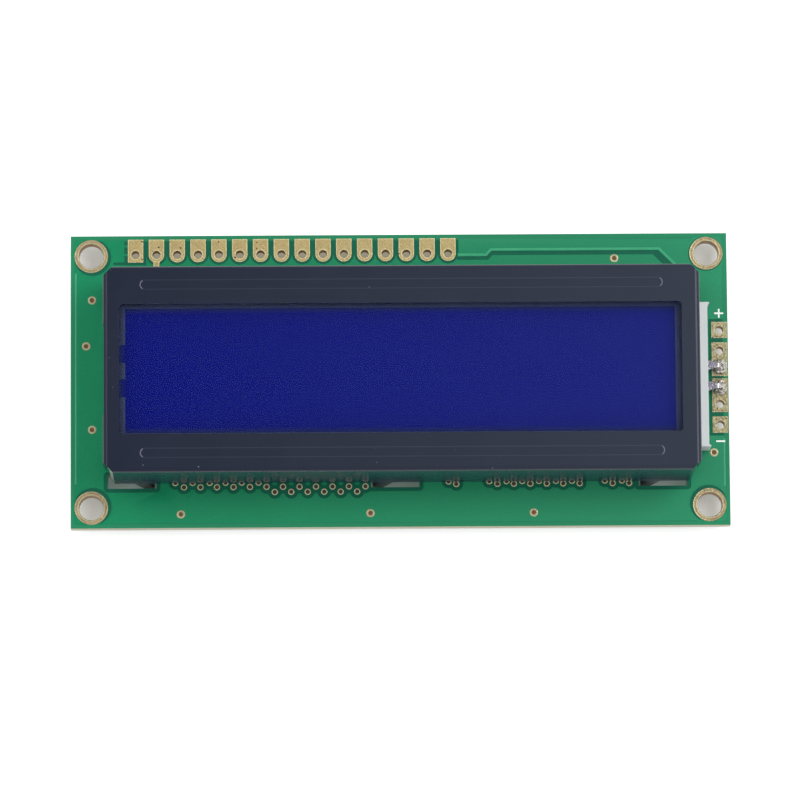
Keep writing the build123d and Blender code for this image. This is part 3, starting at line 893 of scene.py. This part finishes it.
@dataclass
class Vias:
    """Small plated holes that carry a track through the board."""

    board_top: float = 1.6
    foil: float = 0.05
    lap: float = 0.07
    wall: float = 0.04
    steps: int = 20
    clearing_sides: int = 24
    well_sides: int = 12
    crease: float = 50
    free: list[Spot] = field(default_factory=lambda: [
        (-37.4, 10.05), (-38.11, 4.38), (-37.39, -5.91), (-26.65, -16.33), (-3.68, -16.31), (16.13, -16.34),
        (38.11, -9.12), (26.27, 14.94),
    ])
    rows: list[HoleRow] = field(default_factory=lambda: [
        HoleRow(-26.27, 5, -13.02), HoleRow(-16.26, 7, -13.02), HoleRow(-15.27, 6, -13.65),
        HoleRow(6.75, 1, -12.8), HoleRow(11.74, 6, -12.8), HoleRow(25.74, 2, -12.8),
    ])
    tucked_y: float = -12.48
    tucked: list[float] = field(default_factory=lambda: [
        -27.31, -25.22, -23.15, -21.22, -19.27, -17.23, 5.83, 10.76, 12.85, 14.76, 16.8, 18.85, 20.8, 24.79,
        26.87,
    ])

    def groups(self) -> list[tuple[ViaKind, list[Spot]]]:
        """The places of all vias, in groups whose clearings don't meet."""
        tucked = [(x, self.tucked_y) for x in self.tucked]
        rows = [row.places() for row in self.rows] + [tucked[::2], tucked[1::2]]
        return [(FREE_VIA, self.free), *[(ROW_VIA, places) for places in rows]]

    def clearings(self) -> Iterable[Piece]:
        """Makes tools that open the copper round the vias, a group at a time."""
        for kind, places in self.groups():
            yield join("clearing", [
                rod("clearing", (x, y, self.board_top / 2), kind.clearing_radius, self.board_top * 2,
                    self.clearing_sides) for x, y in places
            ])

    def pattern(self, kind: ViaKind) -> Piece:
        """Turns the ring and the plated wall of one kind of via."""
        hole, ring, top = kind.hole_radius, kind.ring_radius, self.board_top + self.lap
        wall = hole + self.wall
        profile = [
            (hole, -self.lap), (ring, -self.lap), (ring, 0), (wall, 0), (wall, self.board_top),
            (ring, self.board_top), (ring, top), ((ring + hole) / 2, top + self.foil / 2), (hole, top),
        ]
        return smooth(lathe(f"{kind.name}_pattern", profile, self.steps), self.crease)

    def build(self) -> None:
        """Builds each via's ring and its dark well on both faces, the well a painted shade of the open hole.
        """
        groups = self.groups()
        for kind in (FREE_VIA, ROW_VIA):
            ring = self.pattern(kind)
            well = rod("well", (0, 0, self.board_top / 2), kind.hole_radius + self.wall / 2,
                       self.board_top + self.wall, self.well_sides)
            places = [spot for each, spots in groups if each is kind for spot in spots]
            for number, (x, y) in enumerate(places):
                set_down(copy(ring, f"{kind.name}_{number + 1:02d}", (x, y, 0)), kind.metal)
            wells = [copy(well, "well", (x, y, 0)) for x, y in places]
            set_down(join(f"{kind.name}_wells", wells), kind.well)
            bpy.data.objects.remove(ring)
            bpy.data.objects.remove(well)


@dataclass
class Pads:
    """Plated pads with holes: the header's, the backlight's and the mounting holes' rings."""

    board_top: float = 1.6
    foil: float = 0.05
    edge: float = 0.02
    header_first_x: float = -32.1
    header_pitch: float = 2.54
    header_count: int = 16
    header_y: float = 15.65
    header_width: float = 1.87
    header_top: float = 17.55
    hole_radius: float = 0.5
    barrel_radius: float = 0.6
    neck_width: float = 0.5
    neck_length: float = 1.2
    neck_lap: float = 0.12
    neck_flare: float = 1.6
    round_share: float = 0.98
    round_steps: int = 10
    ring_steps: int = 72
    ring_crease: float = 50
    light_x: float = 38.95
    light_left: float = 38.0
    light_width: float = 1.9
    light_pads: list[tuple[float, float, list[float]]] = field(default_factory=lambda: [
        (4.99, 6.99, [5.99]), (0.29, 4.45, [3.45, 1.43]), (-4.15, 0.01, [-1.13, -3.15]),
        (-6.69, -4.69, [-5.69]),
    ])
    mount_places: list[Spot] = field(default_factory=lambda: [
        (x, y) for x in (-37.5, 37.5) for y in (-15.5, 15.5)
    ])
    mount_hole_radius: float = 1.5
    mount_land_radius: float = 2.05
    mount_clearing: float = 0.47
    mount_gaps: Sequence[float] = (0.44, 0.4, 0.4, 0.14)
    skirt_share: float = 0.8
    margin: Spot = (39.55, 17.55)

    def land(self, face: Face, x: Spot, y: Spot, end: PadEnd) -> Piece:
        """Makes one land.

        Args:
            face: The board face that it lies on.
            x: Its left and right edge.
            y: Its lower and upper edge.
            end: How its lower end is cut.

        Returns:
            The land, without its hole.
        """
        middle = self.board_top + self.foil / 2 if face is Face.FRONT else -self.foil / 2
        width = x[1] - x[0]
        land = bar("land", (*x, *y), middle, self.foil)
        if end is PadEnd.ROUND:
            low = y[0] + WELD
            pick(land, "EDGE", lambda spot: spot.y < low and abs(spot.x - (x[0] + x[1]) / 2) > width / 4)
            bpy.ops.mesh.bevel(offset=width / 2 * self.round_share, segments=self.round_steps)
        clear()
        return land

    def pad(self, name: str, x: Spot, y: Spot, holes: Sequence[Spot], end: PadEnd, metal: Finish) -> Piece:
        """Makes a pad with a land on each face and a plated wall in each hole.

        Args:
            name: Name of the pad.
            x: Left and right edge.
            y: Lower and upper edge.
            holes: The middle of each hole.
            end: How its lower end is cut.
            metal: The finish of its lands.

        Returns:
            The pad.
        """
        body = self.land(Face.FRONT, x, y, end)
        middle = self.board_top / 2
        for place in holes:
            barrel = rod("barrel", (*place, middle), self.barrel_radius, self.board_top + self.foil)
            carve(body, barrel, "UNION")
        carve(body, self.land(Face.BACK, x, y, end), "UNION")
        for place in holes:
            carve(body, rod("bore", (*place, middle), self.hole_radius, self.board_top * 2))
        body.name = name
        ease(body, self.edge)
        two_toned(body, metal, BORE, near_hole(holes, self.hole_radius + self.edge * 2))
        return body

    def header(self) -> None:
        """Builds the sixteen header pads, the first one square."""
        half = self.header_width / 2
        low = self.header_y - half
        first = self.header_first_x
        square = self.pad("header_pad_01", (first - half, first + half), (low, self.header_top),
                          [(first, self.header_y)], PadEnd.SQUARE, PLATED)
        pattern = self.pad("pad_pattern", (-half, half), (low, self.header_top), [(0, self.header_y)],
                           PadEnd.ROUND, PLATED)
        set_down(square, PLATED, "header_pads")
        for index in range(1, self.header_count):
            place = (first + index * self.header_pitch, 0, 0)
            set_down(copy(pattern, f"header_pad_{index + 1:02d}", place), PLATED, "header_pads")
        bpy.data.objects.remove(pattern)
        self.neck(first + self.header_pitch, low)

    def neck(self, x: float, top: float) -> None:
        """Runs the second pad's bare copper down to the bezel.

        Args:
            x: The pad's middle.
            top: The pad's lower edge.
        """
        low = top - self.neck_length
        level = self.board_top + self.foil / 2 + self.edge / 4
        neck = slab("header_neck", (x, (low + top + self.neck_lap) / 2, level),
                    (self.neck_width, self.neck_length + self.neck_lap, self.foil))
        pick(neck, "VERT", lambda spot: spot.y > top)
        bpy.ops.transform.resize(value=(self.neck_flare, 1, 1))
        clear()
        set_down(ease(neck, self.edge), PLATED)

    def backlight(self) -> None:
        """Builds the four backlight pads."""
        edges = (self.light_left, self.light_left + self.light_width)
        for number, (low, high, holes) in enumerate(self.light_pads):
            places = [(self.light_x, y) for y in holes]
            pad = self.pad(f"light_pad_{number + 1}", edges, (low, high), places, PadEnd.SQUARE, HAMMERED)
            set_down(pad, HAMMERED, "backlight_pads")

    def rings(self) -> None:
        """Builds the ring of each mounting hole."""
        top, under = self.board_top + self.foil, -self.foil
        inner, outer = self.mount_hole_radius, self.mount_land_radius
        lip, dip = self.edge * 2, self.edge
        band = (inner + lip * 4, outer - lip * 3)
        profile = [
            (inner, under + lip), (inner + lip, under), (outer - lip, under), (outer, under + lip),
            (outer, 0), (inner + self.foil, 0), (inner + self.foil, self.board_top), (outer, self.board_top),
            (outer, top - lip), (outer - lip, top), (outer - lip * 3, top - dip),
            (inner + lip * 5, top - dip), (inner + lip * 3, top), (inner + lip, top - lip / 2),
            (inner, top - lip * 2),
        ]
        ring = smooth(lathe("ring_pattern", profile, self.ring_steps), self.ring_crease)
        two_toned(ring, RING, RED_BORE, near_hole([(0, 0)], inner + lip))
        # The middle band gets the darker painted shade.
        ring.data.materials.append(RING_SHADED_BAND.material())
        for face in ring.data.polygons:
            if band[0] < math.hypot(face.center.x, face.center.y) < band[1]:
                face.material_index = len(ring.data.materials) - 1
        for number, (x, y) in enumerate(self.mount_places):
            set_down(copy(ring, f"mount_ring_{number + 1}", (x, y, 0)), RING, "mounting_hole_rings")
        bpy.data.objects.remove(ring)

    def skirts(self) -> Iterable[Piece]:
        """Makes the copper that closes each mounting ring's bare gap down to a crescent on its inner side."""
        low, top = self.board_top, self.board_top + self.foil * self.skirt_share
        near = self.mount_land_radius + self.edge
        for (x, y), gap in zip(self.mount_places, self.mount_gaps):
            reach = near + self.mount_clearing + self.edge
            skirt = rod("skirt", (x, y, (low + top) / 2), reach, top - low, self.ring_steps)
            margin = slab("margin", (0, 0, low), (self.margin[0] * 2, self.margin[1] * 2, 1))
            carve(skirt, margin, "INTERSECT")
            shift = gap / 2 / math.sqrt(2)
            centre = (x - math.copysign(shift, x), y - math.copysign(shift, y), low)
            yield carve(skirt, rod("crescent", centre, near + gap / 2, 1, self.ring_steps))


@dataclass
class Pours:
    """The copper areas under the green mask on both faces."""

    vias: Vias
    fan: "FanOut"
    pads: Pads
    edge: float = 0.02
    low: float = 1.6
    top: float = 1.64
    line_widths: Spot = (0.4, 0.22)
    line_height: float = 0.03
    slit_line: list[Spot] = field(default_factory=lambda: [
        (7.2, 15.46), (10.65, 15.46), (11.25, 16.11), (31.75, 16.11), (34.95, 12.91),
    ])
    slot_places: Point = (-32.55, -0.65, 31.85)
    slot_y: float = 12.35
    slot_size: Spot = (6.85, 2.55)
    slot_corner: float = 0.5
    slot_corner_steps: int = 5
    small_gaps: list[Box] = field(default_factory=lambda: [
        (-34.8, -32.9, 14.4, 14.72), (-33.46, -33.0, 14.6, 17.3), (11.4, 31.1, 15.4, 15.8),
    ])
    slit_falls: list[tuple[Spot, Spot]] = field(default_factory=lambda: [
        ((31.0, 34.4), (15.4, 15.9)), ((31.4, 34.4), (15.0, 15.8)),
    ])
    spokes: list[Box] = field(default_factory=lambda: [
        (-33.5, -33.04, 15.53, 15.79), (-33.5, -33.04, 16.58, 16.84),
    ])
    side_lines: list[tuple[Spot, Spot]] = field(default_factory=lambda: [
        ((-39.38, -12.6), (-39.38, 13.4)), ((39.36, -13.2), (39.36, -7.4)),
    ])

    def gaps(self) -> list[Piece]:
        """Makes the tools that open the gaps beside the first pad, along the slit and round the slots."""
        tools = [bar("gap", box, self.top, 1) for box in self.small_gaps]
        for x in self.slot_places:
            for y in (-self.slot_y, self.slot_y):
                gap = slab("slot_gap", (x, y, self.top), (*self.slot_size, 1))
                pick(gap, "EDGE", lambda spot: abs(spot.z - self.top) < WELD)
                bpy.ops.mesh.bevel(offset=self.slot_corner, segments=self.slot_corner_steps)
                clear()
                tools.append(gap)
        return [*tools, *[self.fall(across, up) for across, up in self.slit_falls]]

    def fall(self, across: Spot, up: Spot) -> Piece:
        """Makes a tool that widens the slit's slanting end.

        Args:
            across: Its left and right end.
            up: Its lower and upper edge at the left end.

        Returns:
            The tool, falling at 45 degrees.
        """
        left, right = across
        gap = bar("slit_fall", (*across, *up), self.top, 1)
        pick(gap, "VERT", lambda spot: spot.x > (left + right) / 2)
        bpy.ops.transform.translate(value=(0, left - right, 0))
        clear()
        return gap

    def fillers(self) -> list[Piece]:
        """Makes the copper that is added: the first pad's spokes and the mounting rings' skirts."""
        spokes = [bar("spoke", box, (self.low + self.top) / 2, self.top - self.low) for box in self.spokes]
        return [*spokes, *self.pads.skirts()]

    def build(self) -> None:
        """Opens both copper areas round the vias, eases their edges and lays raised mask lines, painted as
        highlights.
        """
        for node in ("front_copper_pour", "back_copper_pour"):
            back = node.startswith("back")
            pour = taken(node)
            for tool in [*self.vias.clearings(), *(self.fan.openings() if back else self.gaps())]:
                carve(pour, tool)
            for filler in [] if back else self.fillers():
                carve(pour, filler, "UNION")
            set_down(ease(pour, self.edge, segments=1, angle=60), MASK, node)
        # The raised ribbons carry the painted highlight.
        wide, narrow = self.line_widths
        lines = [(self.slit_line, wide), *[(line, narrow) for line in self.side_lines]]
        strands = [strand("line", [(x, y, self.top) for x, y in line], width, self.line_height)
                   for line, width in lines]
        set_down(join("mask_highlight_lines", strands), MASK_HIGHLIGHT)


@dataclass
class FanOut:
    """The tracks that fan out from under the two potted chips on the back."""

    blob_x: float = 19
    count: int = 30
    inner_radius: float = 7.9
    track_width: float = 0.24
    track_height: float = 0.035
    end_radii: Spot = (9.5, 10.4)
    dot_radius: float = 0.34
    dot_height: float = 0.084
    dot_sides: int = 16
    opening_radius: float = 11.1
    opening_sides: int = 72

    def openings(self) -> list[Piece]:
        """Makes the tools that open the copper round both chips."""
        return [rod("opening", (x, 0, 0), self.opening_radius, 1, self.opening_sides)
                for x in (-self.blob_x, self.blob_x)]

    def build(self) -> None:
        """Lays the tracks and their plated ends."""
        for number, x in enumerate((-self.blob_x, self.blob_x)):
            tracks, dots = [], []
            for index in range(self.count):
                angle = math.tau * (index + 0.5) / self.count
                across, up = math.cos(angle), math.sin(angle)
                reach = self.end_radii[index % 2]
                points = [(x + across * radius, up * radius, 0) for radius in (self.inner_radius, reach)]
                tracks.append(strand("track", points, self.track_width, self.track_height))
                centre = (x + across * reach, up * reach, 0)
                dots.append(rod("dot", centre, self.dot_radius, self.dot_height, self.dot_sides))
            set_down(join(f"fan_tracks_{number + 1}", tracks), MASK)
            set_down(ease(join(f"fan_ends_{number + 1}", dots), self.track_height / 2, segments=1), RING)


@dataclass
class Bezel:
    """The folded steel bezel with its raw cut ends."""

    edge: float = 0.04
    end_x: float = 34.4
    foot: float = -0.6
    cut_turn: Spot = (0.6, 0.8)
    flank_turn: float = 0.4
    wall_turn: float = 0.97
    wall_y: float = 11.95
    rib_floor: float = 11.0
    rib_rise: float = 0.12
    rib_reach: float = 32.5
    rib_y: Spot = (9, 11.3)
    rib_glint: float = 0.35
    crease: float = 25

    def build(self) -> None:
        """Rounds the bezel's cut edges and leaves the sheared ends of its walls bare."""
        bezel = taken("bezel", fused=False)
        for vert in bezel.data.vertices:
            if abs(vert.co.z - self.rib_floor) < WELD and abs(vert.co.x) < self.rib_reach:
                vert.co.z += self.rib_rise
        # Besides black paint and raw steel, these finishes are painted light: the wall's reflection, the rib
        # highlights and glints, and the cut's lift.
        steels = (BEZEL_BLACK, RAW_STEEL, BEZEL_WALL_REFLECTION, BEZEL_PRESS_HIGHLIGHT, BEZEL_GLINT, BEZEL_CUT_LIT)
        for finish in steels:
            bezel.data.materials.append(finish.material())
        for face in bezel.data.polygons:
            face.material_index = steels.index(self.steel(face))
        set_down(ease(bezel, self.edge, angle=40, crease=self.crease), BEZEL_BLACK, "bezel")

    def steel(self, face: bpy.types.MeshPolygon) -> Finish:
        """Says which finish a face gets.

        Args:
            face: One of the bezel's faces.

        Returns:
            Its finish.
        """
        middle, normal = face.center, face.normal
        low, high = self.cut_turn
        outside = abs(middle.y) > self.wall_y
        in_rib = abs(middle.x) < self.rib_reach and self.rib_y[0] < abs(middle.y) < self.rib_y[1]
        sheared = -middle.x > self.end_x and -middle.y > self.wall_y and low < -normal.x < high
        if sheared or (middle.z < self.foot and -normal.z > high):
            return RAW_STEEL
        # The wall that faces down the board gets the painted reflection of the board.
        if outside and -normal.y > self.wall_turn and middle.y < 0:
            return BEZEL_WALL_REFLECTION
        # Side faces inside the window: painted highlight on the ribs, painted light on the window's cut.
        if not outside and abs(middle.x) < self.end_x and abs(normal.z) < self.flank_turn:
            return BEZEL_PRESS_HIGHLIGHT if in_rib else BEZEL_CUT_LIT
        # Rib slopes: painted glint at the ends, painted highlight along the sides.
        if in_rib and middle.z > self.rib_floor and 0 < normal.z < self.wall_turn:
            return BEZEL_GLINT if abs(normal.x) > self.rib_glint else BEZEL_PRESS_HIGHLIGHT
        return BEZEL_BLACK


@dataclass
class Cell:
    """The liquid crystal cell behind the window."""

    edge: float = 0.03
    film_gap: float = 0.01
    glass_gap: float = 0.02

    def build(self) -> None:
        """Finishes the cell's films, glasses, crystal and seal, with a thin gap between the layers."""
        layers = {
            "front_polariser": (POLARISER, self.film_gap), "rear_polariser": (POLARISER, self.film_gap),
            "front_glass": (GLASS, self.glass_gap), "rear_glass": (GLASS, self.glass_gap),
            "liquid_crystal": (CRYSTAL, self.film_gap), "cell_seal": (SEAL, self.film_gap),
            "port_plug": (PLUG, self.film_gap),
        }
        for node, (finish, gap) in layers.items():
            layer = ease(thin(taken(node), gap), self.edge, segments=1, angle=60)
            if finish in (GLASS, POLARISER):
                two_toned(layer, finish, GLASS_EDGE, is_side)
            set_down(layer, finish, node)


@dataclass
class Backlight:
    """The white frame with its lamps, leads and solder."""

    edge: float = 0.12
    lead_edge: float = 0.04
    tinned_x: float = 38.0
    lump: float = 0.35
    lump_reach: float = 0.3
    voxel: float = 0.06
    spread: float = 0.1

    def build(self) -> None:
        """Eases the frame, finishes what it holds and solders its leads."""
        set_down(ease(taken("backlight_frame"), self.edge, segments=3), WHITE, "backlight_frame")
        leads = ease(taken("backlight_leads"), self.lead_edge, angle=40)
        two_toned(leads, LEAD, SOLDER, lambda face: face.center.x > self.tinned_x)
        set_down(leads, LEAD, "backlight_leads")
        solder = taken("solder_joints")
        apply(solder, "REMESH", mode="VOXEL", voxel_size=self.voxel)
        apply(solder, "DISPLACE", strength=self.spread, mid_level=0)
        set_down(smooth(roughen(solder, self.lump, self.lump_reach)), SOLDER, "solder_joints")
        dress(CLEAR, "light_guide")
        dress(SHEET, "reflector_sheet", "diffuser_sheet")
        dress(SMALL_BOARD, "led_board")
        dress(LAMP, "backlight_leds")
        dress(RUBBER, "upper_contact_strip", "lower_contact_strip")


@dataclass
class BackSide:
    """What sits on the board's back face."""

    blob_profile: list[Spot] = field(default_factory=lambda: [
        (0, -1.7), (1.6, -1.68), (3.2, -1.6), (4.7, -1.4), (6, -1.08), (7, -0.68), (7.6, -0.32),
        (7.95, -0.06), (7.95, 0.0), (0, 0),
    ])
    steps: int = 56
    wave: float = 3.5
    wave_reach: float = 0.12
    chip_edge: float = 0.06

    def blobs(self) -> None:
        """Pots the two chips under smooth, slightly uneven domes."""
        for node in ("controller_blob", "driver_blob"):
            corners = [Vector(corner) for corner in NODES[node].bound_box]
            centre = sum(corners, Vector()) / len(corners) / MM
            blob = lathe(f"{node}_dome", self.blob_profile, self.steps)
            blob.data.transform(Matrix.Translation((centre.x, centre.y, 0)))
            roughen(blob, self.wave, self.wave_reach)
            for vert in blob.data.vertices:
                vert.co.z = max(min(vert.co.z, 0), self.blob_profile[0][1])
            set_down(smooth(blob), EPOXY, node)

    def build(self) -> None:
        """Finishes the blobs and the chips."""
        self.blobs()
        dress(SILICON, "chip_dies")
        chips = {"chip_resistors": BLACK_CHIP, "chip_capacitors": TAN_CHIP, "chip_terminals": LEAD}
        for node, finish in chips.items():
            set_down(ease(taken(node), self.chip_edge, angle=40), finish, node)


@dataclass
class Studio:
    """A pale floor, soft light and the camera.

    The camera's distance and offset are taken from the middle of the board's front.
    """

    pitch: float = -9.293
    yaw: float = 0.746
    roll: float = 0.324
    offset: Spot = (-0.029186, 2.40496)
    distance: float = 800
    lens: float = 295.97
    sensor: float = 36
    clip: Spot = (0.05, 50)
    board_top: float = 1.6
    floor_level: float = -1.7
    floor_size: float = 6000
    dome: float = 0.92
    paper: float = 0.6
    glow: float = 0.6
    # Painted shade: under the board's footprint the floor's glow drops to these levels and takes these tints,
    # warm under the header and teal under the slots.
    shade: float = 0.22
    deep_shade: float = 0.08
    footprint: Spot = (39.9, 17.9)
    deep_footprint: Spot = (36.1, 14)
    row_footprint: Spot = (35.2, 17.9)
    row_shade: Colour = (242, 222, 186)
    hole_shade: Colour = (255, 253, 240)
    slot_shade: Colour = (210, 251, 232)
    shade_fade: float = 0.4
    lamp_size: float = 420
    lamps: list[tuple[str, Point, float]] = field(default_factory=lambda: [
        ("right_lamp", (420, 160, 620), 2.5), ("left_lamp", (-520, 260, 700), 1.4),
    ])

    def camera(self) -> None:
        """Sets the camera at the photograph's viewing angle."""
        turns = [Matrix.Rotation(math.radians(angle), 3, axis)
                 for angle, axis in ((self.roll, "Z"), (self.yaw, "Y"), (self.pitch, "X"))]
        back = (turns[0] @ turns[1] @ turns[2]).transposed()
        across, up = self.offset
        eye = back @ Vector((-across, -up, self.distance)) + Vector((0, 0, self.board_top))
        data = bpy.data.cameras.new("studio_camera")
        data.lens = self.lens
        data.sensor_width = self.sensor
        data.clip_start, data.clip_end = self.clip
        camera = placed("studio_camera", data)
        camera.matrix_world = Matrix.Translation(eye * MM) @ back.to_4x4()
        bpy.context.scene.camera = camera

    @staticmethod
    def seen(graph: Graph) -> Socket:
        """A mask that is 1 for rays that show the background."""
        path = graph.add("LightPath").outputs
        either = graph.sum("MAXIMUM", path["Is Camera Ray"], path["Is Glossy Ray"])
        return graph.sum("MAXIMUM", either, path["Is Transmission Ray"])

    def world(self) -> None:
        """Makes a white surround that lights the object softly."""
        world = bpy.data.worlds.new("studio")
        bpy.context.scene.world = world
        world.use_nodes = True
        graph = Graph(world.node_tree)
        strength = graph.span(self.seen(graph), 0, 1, self.dome, 1)
        light = graph.add("Background", {"Color": (1, 1, 1, 1), "Strength": strength})
        graph.add("OutputWorld", {"Surface": light.outputs[0]})

    def floor(self) -> None:
        """Lays the floor, white where no shadow falls, with painted shade under the board, and clear from
        below.
        """
        clear()
        bpy.ops.mesh.primitive_plane_add(size=self.floor_size * MM, location=(0, 0, self.floor_level * MM))
        floor = fix(bpy.context.object, "floor")
        made = bpy.data.materials.new("floor_paper")
        made.use_nodes = True
        graph = Graph(made.node_tree)
        paper = graph.add("BsdfDiffuse", {"Color": (self.paper, self.paper, self.paper, 1)})
        open_air, shallow, hole_side = [
            graph.margin(spot, self.shade_fade)
            for spot in (self.footprint, self.deep_footprint, self.row_footprint)
        ]
        # Painted shade: less glow and a tint where the board lies above the floor.
        shade = graph.span(shallow, 0, 1, self.deep_shade, self.shade)
        level = graph.sum("MULTIPLY_ADD", open_air, graph.sum("SUBTRACT", self.glow, shade), shade)
        under = graph.blend(hole_side, paint(self.row_shade), paint(self.hole_shade))
        under = graph.blend(shallow, paint(self.slot_shade), under)
        colour = graph.blend(open_air, under, (1, 1, 1, 1))
        strength = graph.sum("MULTIPLY", self.seen(graph), level)
        glow = graph.add("Emission", {"Color": colour, "Strength": strength})
        lit = graph.add("AddShader", {0: paper.outputs[0], 1: glow.outputs[0]})
        behind = graph.add("NewGeometry").outputs["Backfacing"]
        open_side = graph.add("BsdfTransparent")
        mixed = graph.add("MixShader", {0: behind, 1: lit.outputs[0], 2: open_side.outputs[0]})
        graph.add("OutputMaterial", {"Surface": mixed.outputs[0]})
        floor.data.materials.append(made)

    def lamp(self, name: str, place: Point, power: float) -> None:
        """Hangs a soft lamp that faces the object.

        Args:
            name: Name of the lamp.
            place: Where it hangs.
            power: Its power in watts.
        """
        data = bpy.data.lights.new(name, "AREA")
        data.size = self.lamp_size * MM
        data.energy = power
        turn = Vector(place).to_track_quat("Z", "Y").to_matrix().to_4x4()
        placed(name, data).matrix_world = Matrix.Translation(Vector(place) * MM) @ turn

    def build(self) -> None:
        """Sets the whole studio."""
        self.camera()
        self.world()
        self.floor()
        for lamp in self.lamps:
            self.lamp(*lamp)
        bpy.context.scene.view_settings.view_transform = "Standard"


def main() -> None:
    """Builds the module's looks, piece by piece, and its studio."""
    logging.basicConfig(level=logging.INFO, format="%(message)s")
    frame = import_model()
    NODES.update(frame["nodes"])
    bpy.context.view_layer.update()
    vias, fan, pads = Vias(), FanOut(), Pads()
    dress(LAMINATE, "circuit_board")
    dress(SILK, "silk_marks")
    dress(PLATED, "contact_fingers")
    Pours(vias, fan, pads).build()
    vias.build()
    fan.build()
    pads.header()
    pads.backlight()
    pads.rings()
    Bezel().build()
    Cell().build()
    Backlight().build()
    BackSide().build()
    Studio().build()


if __name__ == "__main__":
    main()
